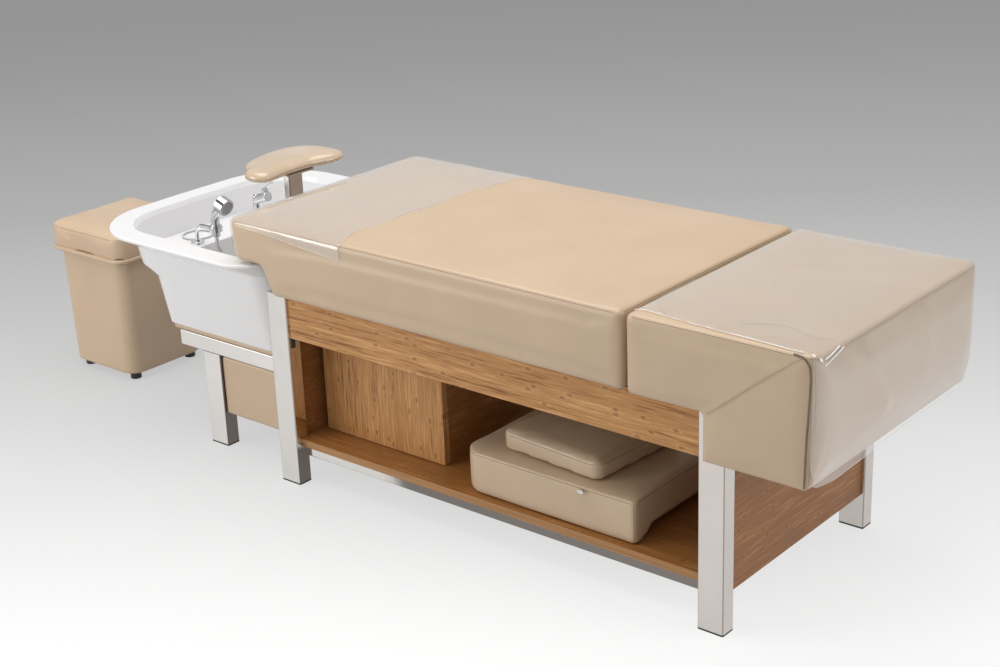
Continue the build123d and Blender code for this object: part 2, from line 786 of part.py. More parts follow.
# Foot cushion: its end hangs down past the foot legs, with a flap round each leg.
second_head = main_foot + joint_gap
second_foot = bed_foot + foot_bulge_reach
with BuildPart() as foot_cushion:
    extrude(foot_side_outline(0.0), amount=half_cushion, both=True)
    extrude(
        plan_outline(second_head, second_foot, half_cushion, cushion_corner, foot_corner, cushion_draw),
        amount=tall,
        mode=Mode.INTERSECT,
    )
    extrude(
        film_cross_outline(0.0, foot_drop), amount=2 * bed_length, both=True, mode=Mode.INTERSECT
    )
    with BuildSketch(Plane.XY.offset(foot_drop - cut_over)):
        with Locations(((second_head - cut_over + bed_foot - flap_inset) / 2, 0)):
            Rectangle(bed_foot - flap_inset - second_head + cut_over, 2 * half_cushion + cut_over)
        with Locations(((second_head + bed_foot + leg_clear) / 2, 0)):
            Rectangle(bed_foot + leg_clear - second_head, 2 * (half_bed + leg_clear))
    extrude(amount=deck_height + soft_gap - foot_drop + cut_over, mode=Mode.SUBTRACT)
finish(foot_cushion, "foot_cushion")

# Clear films: a shell round each cushion's end, with a waved edge.
film_out = film_gap + film_thick
with BuildPart() as head_film_core:
    extrude(main_side_outline(film_gap), amount=half_cushion + film_gap, both=True)
    extrude(
        plan_outline(
            main_head - film_gap, main_foot, half_cushion + film_gap, main_head_corner, cushion_corner,
            cushion_draw,
        ),
        amount=tall,
        mode=Mode.INTERSECT,
    )
    extrude(film_cross_outline(film_gap, deck_height), amount=bed_length, both=True, mode=Mode.INTERSECT)

with BuildPart() as head_film:
    extrude(main_side_outline(film_out), amount=half_cushion + film_out, both=True)
    extrude(
        plan_outline(
            main_head - film_out, main_foot, half_cushion + film_out, main_head_corner, cushion_corner,
            cushion_draw,
        ),
        amount=tall,
        mode=Mode.INTERSECT,
    )
    extrude(film_cross_outline(film_out, deck_height), amount=bed_length, both=True, mode=Mode.INTERSECT)
    add(head_film_core.part, mode=Mode.SUBTRACT)
    with BuildSketch():
        with BuildLine():
            back_edge = [
                (main_head + along * head_film_reach, across * 2 * (half_cushion + cut_over))
                for across, along in head_film_back_shares
            ]
            Polyline(
                (main_head - cut_over, back_edge[0][1]),
                *back_edge,
                (main_head - cut_over, back_edge[-1][1]),
                close=True,
            )
        make_face()
    extrude(amount=tall, mode=Mode.INTERSECT)
    with BuildSketch(Plane.XZ) as head_film_side:
        with BuildLine():
            Polyline(
                (main_head - cut_over, tall),
                (main_head - cut_over, cushion_top - head_film_drop),
                (main_head + main_head_corner, cushion_top - head_film_drop),
                (main_head + main_head_corner, cushion_top - head_flap_front),
                (main_head + head_film_reach, cushion_top - head_flap_back),
                (main_head + head_film_reach, tall),
                close=True,
            )
        make_face()
    extrude(amount=rim_half, both=True, mode=Mode.INTERSECT)
finish(head_film, "head_film")

with BuildPart() as foot_film_core:
    extrude(foot_side_outline(film_gap), amount=half_cushion + film_gap, both=True)
    extrude(
        plan_outline(
            second_head - film_gap, second_foot + film_gap, half_cushion + film_gap, cushion_corner,
            foot_corner, cushion_draw,
        ),
        amount=tall,
        mode=Mode.INTERSECT,
    )
    extrude(
        film_cross_outline(film_gap, foot_drop - cut_over), amount=2 * bed_length, both=True,
        mode=Mode.INTERSECT,
    )

with BuildPart() as foot_film:
    with BuildSketch(Plane.XZ):
        with BuildLine():
            film_end = bed_foot + foot_bulge_reach + film_out
            film_low = bed_foot + foot_low_reach + film_out
            Line(
                (second_head, cushion_top + film_out),
                (bed_foot + foot_top_reach + film_out, cushion_top + film_out),
            )
            ThreePointArc(
                (bed_foot + foot_top_reach + film_out, cushion_top + film_out),
                (film_end, foot_bulge_height),
                (film_low, foot_drop),
            )
            Polyline(
                (film_low, foot_drop),
                (film_low, foot_film_hem),
                (film_low - film_thick, foot_film_hem),
                (film_low - film_thick, foot_drop),
                (second_head, foot_drop),
                (second_head, cushion_top + film_out),
            )
        make_face()
    extrude(amount=half_cushion + film_out, both=True)
    extrude(
        plan_outline(
            second_head - film_out, second_foot + film_out, half_cushion + film_out, cushion_corner,
            foot_corner, cushion_draw,
        ),
        amount=tall,
        mode=Mode.INTERSECT,
    )
    extrude(
        film_cross_outline(film_out, foot_film_hem), amount=2 * bed_length, both=True,
        mode=Mode.INTERSECT,
    )
    add(foot_film_core.part, mode=Mode.SUBTRACT)
    with BuildSketch():
        with BuildLine():
            film_length = second_foot - second_head
            near_edge = [
                (second_head + along * film_length, -across * half_cushion)
                for along, across in foot_film_near_shares
            ]
            Polyline(
                (second_head + film_thick, near_edge[0][1]),
                *near_edge[1:],
                (second_foot + cut_over, near_edge[-1][1]),
                (second_foot + cut_over, half_cushion + cut_over),
                (second_head + film_thick, half_cushion + cut_over),
                close=True,
            )
        make_face()
    extrude(amount=tall, mode=Mode.INTERSECT)
    with BuildSketch(Plane.XZ):
        with BuildLine():
            Polyline(
                (second_head, tall),
                (second_head, cushion_top - film_hem),
                (second_foot - foot_corner, cushion_top - film_hem),
                (second_foot - foot_corner, foot_film_hem - cut_over),
                (second_foot + cut_over, foot_film_hem - cut_over),
                (second_foot + cut_over, tall),
                close=True,
            )
        make_face()
    extrude(amount=rim_half, both=True, mode=Mode.INTERSECT)
finish(foot_film, "foot_film")

# Basin stand: side rails on two legs, end cross tubes, and links to the bed's head legs.
stand_head = bed_head - stand_head_reach
stand_foot = bed_head + stand_foot_inset
stand_rail_z = stand_rail_bottom + stand_rail_height / 2
stand_cross_half = stand_half - stand_rail_breadth
stand_cross_places = (
    stand_head + stand_cross_breadth / 2, stand_foot - stand_cross_breadth / 2,
)
with BuildPart() as stand_rails:
    for side in (-1, 1):
        rail_plane = Plane(
            origin=(stand_head, side * (stand_half - stand_rail_breadth / 2), stand_rail_z),
            x_dir=(0, 1, 0),
            z_dir=(1, 0, 0),
        )
        extrude(
            tube_outline(rail_plane, stand_rail_breadth, stand_rail_height), amount=stand_foot - stand_head
        )
        extrude(
            tube_outline(rail_plane, stand_rail_breadth, stand_rail_height, bore=True),
            amount=stand_foot - stand_head,
            mode=Mode.SUBTRACT,
        )
    for cross_x in stand_cross_places:
        rail_plane = Plane(
            origin=(cross_x, -stand_cross_half, stand_rail_z), x_dir=(1, 0, 0), z_dir=(0, 1, 0)
        )
        extrude(
            tube_outline(rail_plane, stand_cross_breadth, stand_rail_height), amount=2 * stand_cross_half
        )
        extrude(
            tube_outline(rail_plane, stand_cross_breadth, stand_rail_height, bore=True),
            amount=2 * stand_cross_half,
            mode=Mode.SUBTRACT,
        )
finish(stand_rails, "basin_stand_rails")

with BuildPart() as stand_links:
    with BuildSketch(Plane.XY.offset(stand_rail_z - link_height / 2)):
        for side in (-1, 1):
            with Locations((stand_foot - stand_cross_breadth / 2, side * (stand_half + leg_inner) / 2)):
                Rectangle(stand_cross_breadth, leg_inner - stand_half)
    extrude(amount=link_height)
finish(stand_links, "basin_stand_links")

board_head = bed_head - basin_board_reach
with BuildPart() as basin_board:
    with BuildSketch(Plane.XY.offset(seat_board_top - basin_board_thick)):
        with Locations(((board_head + stand_foot) / 2, 0)):
            RectangleRounded(stand_foot - board_head, 2 * stand_half, tube_corner)
        with Locations((bed_head - drain_reach, 0)):
            Circle(drain_radius + drain_tail_wall + step_gap, mode=Mode.SUBTRACT)
    extrude(amount=basin_board_thick)
    fillet(basin_board.edges().filter_by(Axis.X).group_by(Axis.Z)[-1], radius=step_gap)
finish(basin_board, "basin_board")

skirt_head = bed_head - stand_leg_reach + leg_depth
with BuildPart() as skirt_panels:
    with BuildSketch(Plane.XY.offset(skirt_bottom)):
        for side in (-1, 1):
            with Locations(((skirt_head + head_panel_head) / 2, side * (skirt_face - skirt_thick / 2))):
                Rectangle(head_panel_head - skirt_head, skirt_thick)
    extrude(amount=skirt_height)
    fillet(skirt_panels.edges().filter_by(Axis.X), radius=step_gap)
finish(skirt_panels, "skirt_panels")

# Basin: lofted level sections, then the tray, the deep bowl and the service recess cut out.
drain_x = bed_head - drain_reach
rim_section = (rim_reach, rim_clear, rim_half, rim_head_corner, rim_foot_corner, rim_bow)
collar_section = (
    collar_reach, collar_clear, collar_half, collar_head_corner, collar_foot_corner, rim_bow
)
waist_section = (waist_reach, waist_clear, waist_half, waist_head_corner, waist_foot_corner, rim_bow)
shoulder_section = (
    shoulder_reach, shoulder_clear, shoulder_half, shoulder_head_corner, shoulder_foot_corner, rim_bow
)
base_section = (base_reach, base_clear, base_half, base_head_corner, base_foot_corner, rim_bow)
mouth_reach = rim_reach - rim_band
mouth_clear = rim_clear + rim_band
mouth_half = rim_half - rim_band
mouth_section = (
    mouth_reach, mouth_clear, mouth_half, mouth_head_corner, mouth_foot_corner, rim_bow
)
throat_section = (
    mouth_reach - throat_inset, mouth_clear - throat_inset, mouth_half - throat_inset,
    mouth_head_corner, mouth_foot_corner, rim_bow,
)
tray_section = (tray_reach, tray_clear, tray_half, tray_head_corner, tray_foot_corner, rim_bow)
bowl_top_section = (
    tap_deck_edge, tray_clear, tray_half, bowl_head_corner, tray_foot_corner, band_thick
)
bowl_floor_section = (
    tap_deck_edge, bowl_clear, bowl_half, bowl_head_corner, bowl_foot_corner, band_thick
)
outer_levels = (
    (rim_top, rim_section), (rim_top - rim_lip, rim_section), (collar_height, collar_section),
    (waist_height, waist_section), (shoulder_height, shoulder_section), (seat_board_top, base_section),
)
inner_levels = (
    (rim_top + cut_over, mouth_section), (rim_top, mouth_section), (rim_top - throat_drop, throat_section),
    (tap_deck_height, tray_section),
)
with BuildPart() as basin:
    for (upper_z, upper), (lower_z, lower) in zip(outer_levels, outer_levels[1:]):
        loft([basin_outline(upper_z, *upper), basin_outline(lower_z, *lower)], ruled=True)
    fillet(basin.edges().group_by(Axis.Z)[-1], radius=rim_lip / 2)
    for (upper_z, upper), (lower_z, lower) in zip(inner_levels, inner_levels[1:]):
        loft(
            [basin_outline(upper_z, *upper), basin_outline(lower_z, *lower)],
            ruled=True,
            mode=Mode.SUBTRACT,
        )
    loft(
        [
            basin_outline(tap_deck_height, *bowl_top_section),
            basin_outline(basin_floor, *bowl_floor_section),
        ],
        ruled=True,
        mode=Mode.SUBTRACT,
    )
    with BuildSketch(Plane.XY.offset(seat_board_top - cut_over)):
        with Locations((bed_head - tap_deck_edge - recess_skin - recess_half, 0)):
            Rectangle(2 * recess_half, 2 * recess_half)
    extrude(amount=tap_deck_height - tap_deck_thick - seat_board_top + cut_over, mode=Mode.SUBTRACT)
    with BuildSketch(Plane.XY.offset(seat_board_top - cut_over)):
        with Locations((drain_x, 0)):
            Circle(drain_radius + drain_tail_wall + fit_gap)
    extrude(amount=basin_floor_thick + 2 * cut_over, mode=Mode.SUBTRACT)
    with BuildSketch(Plane.XY.offset(tap_deck_height - tap_deck_thick - cut_over)):
        with Locations((bed_head - mixer_reach, mixer_offset)):
            Circle(mixer_shank_radius + fit_gap)
        with Locations((bed_head - holder_reach, -tap_offset)):
            Circle(shank_radius + fit_gap)
    extrude(amount=tap_deck_thick + 2 * cut_over, mode=Mode.SUBTRACT)
    with BuildSketch(Plane.YZ.offset(bed_head - tap_deck_edge - recess_skin - cut_over)):
        with Locations((-outlet_offset, outlet_height)):
            Circle(outlet_tail_radius + fit_gap)
    extrude(amount=recess_skin + 2 * cut_over, mode=Mode.SUBTRACT)
finish(basin, "basin")

# Drain: flange and tail, nut under the board, lift-out strainer, bottle trap.
drain_outer = drain_radius + drain_tail_wall
drain_tail_end = basin_floor - drain_tail_length
with BuildPart() as drain_flange:
    with BuildSketch(Plane.XY.offset(basin_floor)):
        with Locations((drain_x, 0)):
            Circle(flange_radius)
    extrude(amount=flange_thick, taper=flange_taper)
    with BuildSketch(Plane.XY.offset(basin_floor)):
        with Locations((drain_x, 0)):
            Circle(drain_outer)
    extrude(amount=-drain_tail_length)
    with BuildSketch(Plane.XY.offset(basin_floor + flange_thick)):
        with Locations((drain_x, 0)):
            Circle(drain_radius)
    extrude(amount=-drain_tail_length - flange_thick, mode=Mode.SUBTRACT)
    with BuildSketch(Plane.XY.offset(basin_floor - strainer_thick)):
        with Locations((drain_x, 0)):
            Circle(drain_outer)
            Circle(drain_radius - drain_tail_wall - fit_gap, mode=Mode.SUBTRACT)
    extrude(amount=-strainer_thick)
finish(drain_flange, "drain_flange")

with BuildPart() as strainer:
    with BuildSketch(Plane.XY.offset(basin_floor - strainer_thick)):
        with Locations((drain_x, 0)):
            Circle(drain_radius - fit_gap)
            with PolarLocations(strainer_hole_ring, 8):
                Circle(strainer_hole_radius, mode=Mode.SUBTRACT)
    extrude(amount=strainer_thick)
    with BuildSketch(Plane.XY.offset(basin_floor)):
        with Locations((drain_x, 0)):
            Circle(strainer_knob_radius)
    extrude(amount=strainer_knob_height)
    fillet(strainer.edges().group_by(Axis.Z)[-1], radius=strainer_knob_radius / 2)
finish(strainer, "drain_strainer")

trap_top = drain_tail_end + trap_wall
trap_bottom = trap_top - trap_height
trap_outlet_plane = Plane(
    origin=(drain_x, 0, trap_top - trap_outlet_drop),
    x_dir=(0, 0, 1),
    z_dir=Vector(-1, 0, 0).rotate(Axis.Z, trap_outlet_turn),
)
with BuildPart() as trap:
    with BuildSketch(Plane.XY.offset(trap_bottom)):
        with Locations((drain_x, 0)):
            Circle(trap_radius)
    extrude(amount=trap_height)
    fillet(trap.edges().filter_by(GeomType.CIRCLE), radius=trap_wall)
    with BuildSketch(trap_outlet_plane):
        Circle(trap_outlet_radius + trap_wall)
    extrude(amount=trap_radius + trap_collar_length)
    with BuildSketch(trap_outlet_plane):
        Circle(trap_outlet_radius)
    extrude(amount=trap_radius + trap_outlet_length)
    with BuildSketch(Plane.XY.offset(trap_bottom + trap_wall)):
        with Locations((drain_x, 0)):
            Circle(trap_radius - trap_wall)
    extrude(amount=trap_height - 2 * trap_wall, mode=Mode.SUBTRACT)
    with BuildSketch(Plane.XY.offset(trap_top + cut_over)):
        with Locations((drain_x, 0)):
            Circle(drain_outer + fit_gap)
    extrude(amount=-trap_wall - 2 * cut_over, mode=Mode.SUBTRACT)
    with BuildSketch(trap_outlet_plane):
        Circle(trap_outlet_radius - trap_wall)
    extrude(amount=trap_radius + trap_outlet_length + cut_over, mode=Mode.SUBTRACT)
finish(trap, "bottle_trap")

# Shower holder: base flange, curved arm and an open ring, with its shank and nut under the tap deck.
holder_x = bed_head - holder_reach
ring_x = bed_head - ring_reach
ring_middle_z = holder_ring_bottom + holder_ring_height / 2
arm_start = tap_deck_height + holder_base_height / 2
with BuildPart() as holder:
    with BuildSketch(Plane.XY.offset(tap_deck_height)):
        with Locations((holder_x, -tap_offset)):
            Circle(holder_base_radius)
    extrude(amount=holder_base_height)
    fillet(holder.edges().group_by(Axis.Z)[-1], radius=holder_base_height / 3)
    with BuildSketch(Plane.XY.offset(tap_deck_height)):
        with Locations((holder_x, -tap_offset)):
            Circle(shank_radius)
    extrude(amount=-tap_deck_thick - nut_height - step_gap)
    with BuildLine():
        FilletPolyline(
            (holder_x, -tap_offset, arm_start),
            (holder_x, -tap_offset, ring_middle_z),
            (ring_x - holder_bore_radius - holder_arm_radius / 2, -tap_offset, ring_middle_z),
            radius=holder_elbow_rise,
        )
    with BuildSketch(Plane.XY.offset(arm_start)):
        with Locations((holder_x, -tap_offset)):
            Circle(holder_arm_radius)
    sweep()
    with BuildSketch(Plane.XY.offset(holder_ring_bottom)):
        with Locations((ring_x, -tap_offset)):
            Circle(holder_ring_radius)
    extrude(amount=holder_ring_height)
    with BuildSketch(Plane.XY.offset(holder_ring_bottom - cut_over)):
        with Locations((ring_x, -tap_offset)):
            Circle(holder_bore_radius)
    extrude(amount=holder_ring_height + 2 * cut_over, mode=Mode.SUBTRACT)
finish(holder, "shower_holder")

# Hand shower: handle through the ring, spray head leaning over the bowl, face plate, swivel nut.
ring_top = holder_ring_bottom + holder_ring_height
handle_foot = holder_ring_bottom
neck_z = ring_top + handle_straight
head_x = ring_x + handle_lean
head_z = neck_z + handle_rise
spray_plane = Plane(
    origin=(head_x, -tap_offset, head_z),
    x_dir=(0, 1, 0),
    z_dir=Vector(1, 0, 0).rotate(Axis.Y, spray_tilt),
)
with BuildPart() as hand_shower:
    with BuildLine():
        FilletPolyline(
            (ring_x, -tap_offset, handle_foot),
            (ring_x, -tap_offset, neck_z),
            (head_x + spray_length / 2, -tap_offset, head_z),
            radius=handle_straight,
        )
    with BuildSketch(Plane.XY.offset(handle_foot)):
        with Locations((ring_x, -tap_offset)):
            Circle(handle_radius)
    sweep()
    with BuildSketch(Plane.XY.offset(ring_top + fit_gap)):
        with Locations((ring_x, -tap_offset)):
            Circle(handle_collar_radius)
    extrude(amount=collar_thick)
    with BuildSketch(spray_plane):
        Circle(spray_radius)
    extrude(amount=spray_length)
    fillet(
        hand_shower.edges().filter_by(GeomType.CIRCLE).sort_by(SortBy.RADIUS)[-1], radius=face_thick
    )
    with BuildSketch(spray_plane.offset(spray_length)):
        Circle(face_radius + fit_gap)
    extrude(amount=-face_thick, mode=Mode.SUBTRACT)
finish(hand_shower, "hand_shower")

with BuildPart() as spray_face:
    with BuildSketch(spray_plane.offset(spray_length - face_thick)):
        Circle(face_radius)
    extrude(amount=face_thick)
finish(spray_face, "hand_shower_face")

with BuildPart() as swivel_nut:
    with BuildSketch(Plane.XY.offset(handle_foot)):
        with Locations((ring_x, -tap_offset)):
            Circle(swivel_radius)
    extrude(amount=-swivel_height)
    fillet(swivel_nut.edges().group_by(Axis.Z)[0], radius=face_thick)
finish(swivel_nut, "hose_swivel_nut")

# Hose outlet through the bowl's head wall, and the pipe behind it from the mixer.
outlet_wall_x = bed_head - tap_deck_edge
outlet_plane = Plane(
    origin=(outlet_wall_x, -outlet_offset, outlet_height), x_dir=(0, 1, 0), z_dir=(1, 0, 0)
)
with BuildPart() as outlet:
    with BuildSketch(outlet_plane):
        Circle(outlet_flange_radius)
    extrude(amount=outlet_flange_thick)
    with BuildSketch(outlet_plane):
        Circle(outlet_nipple_radius)
    extrude(amount=outlet_nipple_length)
    with BuildSketch(outlet_plane):
        Circle(outlet_tail_radius)
    extrude(amount=-recess_skin - outlet_tail_length)
finish(outlet, "hose_outlet")

route = [
    Vector(bed_head + along, across, basin_floor + share * hose_rise)
    for along, across, share in hose_route
]
runs = [after - before for before, after in zip(route, route[1:])]
turns = [before.get_angle(after) for before, after in zip(runs, runs[1:])]
hose_radii = [
    0.45 * min(before.length, after.length) / math.tan(math.radians(turn) / 2)
    for before, after, turn in zip(runs, runs[1:], turns)
]
print("hose bend radii:", [round(radius, 1) for radius in hose_radii])
with BuildPart() as hose:
    with BuildLine() as hose_path:
        FilletPolyline(*route, radius=hose_radii)
    hose_length = hose_path.wires()[0].length
    with BuildSketch(Plane(origin=route[0], z_dir=runs[0])):
        Circle(hose_radius)
    sweep()
print("hose length:", round(hose_length, 1), "tightest:", round(min(hose_radii), 1))
print(
    "hose volume over section times length:",
    round(hose.part.volume / (math.pi * hose_radius**2 * hose_length), 4),
)
finish(hose, "shower_hose")

# Mixer: flange, column, rising barrel, shank and nut under the deck, two inlet tails, link pipe.
mixer_x = bed_head - mixer_reach
barrel_plane = Plane(
    origin=(mixer_x, mixer_offset, barrel_height),
    x_dir=(0, 1, 0),
    z_dir=Vector(1, 0, 0).rotate(Axis.Y, -barrel_tilt),
)
with BuildPart() as mixer:
    with BuildSketch(Plane.XY.offset(tap_deck_height)):
        with Locations((mixer_x, mixer_offset)):
            Circle(mixer_base_radius)
    extrude(amount=mixer_base_height)
    fillet(mixer.edges().group_by(Axis.Z)[-1], radius=mixer_base_height / 3)
    with BuildSketch(Plane.XY.offset(tap_deck_height)):
        with Locations((mixer_x, mixer_offset)):
            Circle(mixer_column_radius)
    extrude(amount=mixer_top - tap_deck_height)
    with Locations((mixer_x, mixer_offset, mixer_top)):
        Sphere(mixer_column_radius)
    with BuildSketch(barrel_plane):
        Circle(barrel_radius)
    extrude(amount=barrel_length)
    with BuildSketch(barrel_plane.offset(barrel_length)):
        Circle(cap_spindle_radius)
    extrude(amount=cap_spindle_length)
    with BuildSketch(Plane.XY.offset(tap_deck_height)):
        with Locations((mixer_x, mixer_offset)):
            Circle(mixer_shank_radius)
    extrude(amount=-tap_deck_thick - nut_height - step_gap)
finish(mixer, "mixer_body")

shank_bottom = tap_deck_height - tap_deck_thick - nut_height - step_gap
with BuildPart() as inlets:
    with BuildSketch(Plane.XY.offset(shank_bottom)):
        with Locations((mixer_x - inlet_spread, mixer_offset), (mixer_x + inlet_spread, mixer_offset)):
            Circle(inlet_radius)
    extrude(amount=-inlet_length)
finish(inlets, "mixer_inlet_tails")

link_y = mixer_offset - link_pipe_spread
with BuildPart() as link_pipe:
    with BuildLine():
        FilletPolyline(
            (mixer_x, link_y, shank_bottom),
            (mixer_x, link_y, outlet_height),
            (mixer_x, -outlet_offset, outlet_height),
            (outlet_wall_x - recess_skin - outlet_tail_length, -outlet_offset, outlet_height),
            radius=link_pipe_bend,
        )
    with BuildSketch(Plane.XY.offset(shank_bottom)):
        with Locations((mixer_x, link_y)):
            Circle(link_pipe_radius)
    sweep()
finish(link_pipe, "mixer_link_pipe")

# Back nuts of the drain, the shower holder, the mixer and the hose outlet.
board_bottom = seat_board_top - basin_board_thick
deck_underside = tap_deck_height - tap_deck_thick
with BuildPart() as back_nuts:
    with BuildSketch(Plane.XY.offset(board_bottom)):
        with Locations((drain_x, 0)):
            RegularPolygon(drain_nut_radius, 6)
            Circle(drain_outer + fit_gap, mode=Mode.SUBTRACT)
    extrude(amount=-drain_nut_height)
    with BuildSketch(Plane.XY.offset(deck_underside)):
        with Locations((holder_x, -tap_offset)):
            RegularPolygon(nut_radius, 6)
            Circle(shank_radius, mode=Mode.SUBTRACT)
        with Locations((mixer_x, mixer_offset)):
            RegularPolygon(mixer_nut_radius, 6)
            Circle(mixer_shank_radius, mode=Mode.SUBTRACT)
    extrude(amount=-nut_height)
    with BuildSketch(outlet_plane.offset(-recess_skin)):
        RegularPolygon(outlet_flange_radius, 6)
        Circle(outlet_tail_radius, mode=Mode.SUBTRACT)
    extrude(amount=-nut_height)
finish(back_nuts, "basin_back_nuts")

# Turning cap, lever and its pin.
cap_plane = barrel_plane.offset(barrel_length + fit_gap)
lever_z = cap_radius + lever_hub_radius + fit_gap
with BuildPart() as mixer_cap:
    with BuildSketch(cap_plane):
        Circle(cap_radius)
    extrude(amount=cap_length)
    fillet(mixer_cap.edges().filter_by(GeomType.CIRCLE).sort_by(Axis.X)[-1], radius=step_gap)
    with BuildSketch(cap_plane):
        Circle(cap_spindle_radius + pin_gap)
    extrude(amount=cap_spindle_length, mode=Mode.SUBTRACT)
    with BuildSketch(cap_plane.offset(cap_length)):
        Circle(knob_hole_radius)
    extrude(amount=-step_gap, mode=Mode.SUBTRACT)
    cap_middle = cap_plane.offset(cap_length / 2)
    ear_place = lever_width / 2 + fit_gap + ear_thick / 2
    ear_top = lever_z + lever_hub_radius
    with BuildSketch(cap_middle):
        ear_middle = (ear_top + cap_radius / 2) / 2
        with Locations((-ear_place, ear_middle), (ear_place, ear_middle)):
            Rectangle(ear_thick, ear_top - cap_radius / 2)
    extrude(amount=ear_length / 2, both=True)
    with BuildSketch(Plane(origin=cap_middle.origin, x_dir=cap_middle.z_dir, z_dir=(0, 1, 0))):
        with Locations((0, -lever_z)):
            Circle(lever_pin_radius)
    extrude(amount=cap_radius * 2, both=True, mode=Mode.SUBTRACT)
finish(mixer_cap, "mixer_cap")

lever_centre = cap_middle.from_local_coords((0, lever_z, 0))
lever_tilt = barrel_tilt + lever_rest_tilt
lever_plane = Plane(
    origin=lever_centre, x_dir=Vector(1, 0, 0).rotate(Axis.Y, -lever_tilt), z_dir=(0, -1, 0)
)
with BuildPart() as lever_pin:
    with BuildSketch(lever_plane):
        Circle(lever_pin_radius)
    extrude(amount=ear_place + ear_thick / 2, both=True)
finish(lever_pin, "mixer_lever_pin")

with BuildPart() as mixer_lever:
    with BuildSketch(lever_plane):
        Circle(lever_hub_radius)
        with Locations((lever_length / 2, lever_hub_radius - lever_thick / 2)):
            SlotOverall(lever_length, lever_thick)
        Circle(lever_pin_radius + pin_gap, mode=Mode.SUBTRACT)
    extrude(amount=lever_width / 2, both=True)
finish(mixer_lever, "mixer_lever")

# Thin ring that lies on the tap deck.
with BuildPart() as deck_ring:
    with BuildSketch(Plane.XZ.offset(deck_ring_offset)):
        with Locations((bed_head - deck_ring_reach + deck_ring_radius, tap_deck_height + deck_ring_wire)):
            Circle(deck_ring_wire)
    revolve(axis=Axis((bed_head - deck_ring_reach, -deck_ring_offset, 0), (0, 0, 1)))
finish(deck_ring, "tap_deck_ring")

# Neck rest: flat arm bolted to the head cross rail, sleeve, clamp knob, sliding post, board and pad.
arm_bottom = rim_top + arm_clear
post_x = bed_head - post_reach
sleeve_depth = post_depth + 2 * (sleeve_wall + slide_gap)
sleeve_breadth = post_breadth + 2 * (sleeve_wall + slide_gap)
arm_head = post_x - sleeve_depth / 2 - sleeve_overhang
arm_foot = head_rail_head
with BuildPart() as arm:
    with BuildSketch(Plane.XY.offset(arm_bottom)):
        with Locations(((arm_head + arm_foot) / 2, 0)):
            RectangleRounded(arm_foot - arm_head, arm_width, tube_corner)
        with Locations((post_x, 0)):
            Rectangle(sleeve_depth, sleeve_breadth, mode=Mode.SUBTRACT)
    extrude(amount=arm_thick)
    with BuildSketch(Plane.XY.offset(arm_bottom + arm_thick)):
        with Locations((arm_foot - arm_thick / 2, 0)):
            Rectangle(arm_thick, arm_width - 2 * tube_corner)
    extrude(amount=-arm_tongue_drop)
    with BuildSketch(Plane.YZ.offset(arm_foot - arm_thick)):
        with Locations((-bolt_spacing / 2, rail_middle_z), (bolt_spacing / 2, rail_middle_z)):
            Circle(bolt_radius + fit_gap)
    extrude(amount=arm_thick, mode=Mode.SUBTRACT)
finish(arm, "neck_rest_arm")

with BuildPart() as arm_bolts:
    with BuildSketch(Plane.YZ.offset(arm_foot)):
        with Locations((-bolt_spacing / 2, rail_middle_z), (bolt_spacing / 2, rail_middle_z)):
            Circle(bolt_radius)
    extrude(amount=-arm_thick)
    with BuildSketch(Plane.YZ.offset(arm_foot - arm_thick)):
        with Locations((-bolt_spacing / 2, rail_middle_z), (bolt_spacing / 2, rail_middle_z)):
            RegularPolygon(bolt_head_radius, 6)
    extrude(amount=-bolt_head_height)
finish(arm_bolts, "neck_rest_arm_bolts")

with BuildPart() as sleeve:
    with BuildSketch(Plane.XY.offset(sleeve_bottom)):
        with Locations((post_x, 0)):
            Rectangle(sleeve_depth, sleeve_breadth)
            Rectangle(post_depth + 2 * slide_gap, post_breadth + 2 * slide_gap, mode=Mode.SUBTRACT)
    extrude(amount=sleeve_top - sleeve_bottom)
    with BuildSketch(Plane.YZ.offset(post_x - sleeve_depth)):
        with Locations((0, grip_height)):
            Circle(stud_radius + pin_gap)
    extrude(amount=sleeve_depth, mode=Mode.SUBTRACT)
finish(sleeve, "neck_rest_sleeve")

sleeve_face = post_x - sleeve_depth / 2
with BuildPart() as clamp_knob:
    with BuildSketch(Plane.YZ.offset(sleeve_face - soft_gap)):
        with Locations((0, grip_height)):
            Circle(grip_radius)
            with PolarLocations(grip_radius + face_thick, 8):
                Circle(stud_radius, mode=Mode.SUBTRACT)
    extrude(amount=-grip_length)
    with BuildSketch(Plane.YZ.offset(sleeve_face - soft_gap)):
        with Locations((0, grip_height)):
            Circle(stud_radius)
    extrude(amount=sleeve_wall + slide_gap)
finish(clamp_knob, "neck_rest_clamp_knob")

post_foot = sleeve_bottom + post_lift_clear
post_plane = Plane((post_x, 0, post_foot))
with BuildPart() as post:
    extrude(tube_outline(post_plane, post_depth, post_breadth), amount=post_top - post_foot)
    extrude(
        tube_outline(post_plane, post_depth, post_breadth, bore=True),
        amount=post_top - post_foot,
        mode=Mode.SUBTRACT,
    )
    with BuildSketch(Plane.XY.offset(post_top)):
        with Locations((post_x, 0)):
            RectangleRounded(pad_plate_depth, pad_plate_breadth, tube_corner)
    extrude(amount=pad_plate_thick)
finish(post, "neck_rest_post")


def pad_outline(height, share):
    """The neck pad's crescent outline, at a share of its full size."""
    middle_x = bed_head - pad_middle_reach
    points = [
        (middle_x + along * pad_depth * share, pad_middle_shift + across * pad_breadth * share)
        for along, across in pad_outline_shares
    ]
    with BuildSketch(Plane.XY.offset(height)) as outline:
        with BuildLine():
            Spline(*points, periodic=True)
        make_face()
    return outline.sketch


pad_bottom = post_top + pad_plate_thick
with BuildPart() as pad_board:
    extrude(pad_outline(pad_bottom, pad_board_share), amount=pad_board_thick)
finish(pad_board, "neck_rest_board")

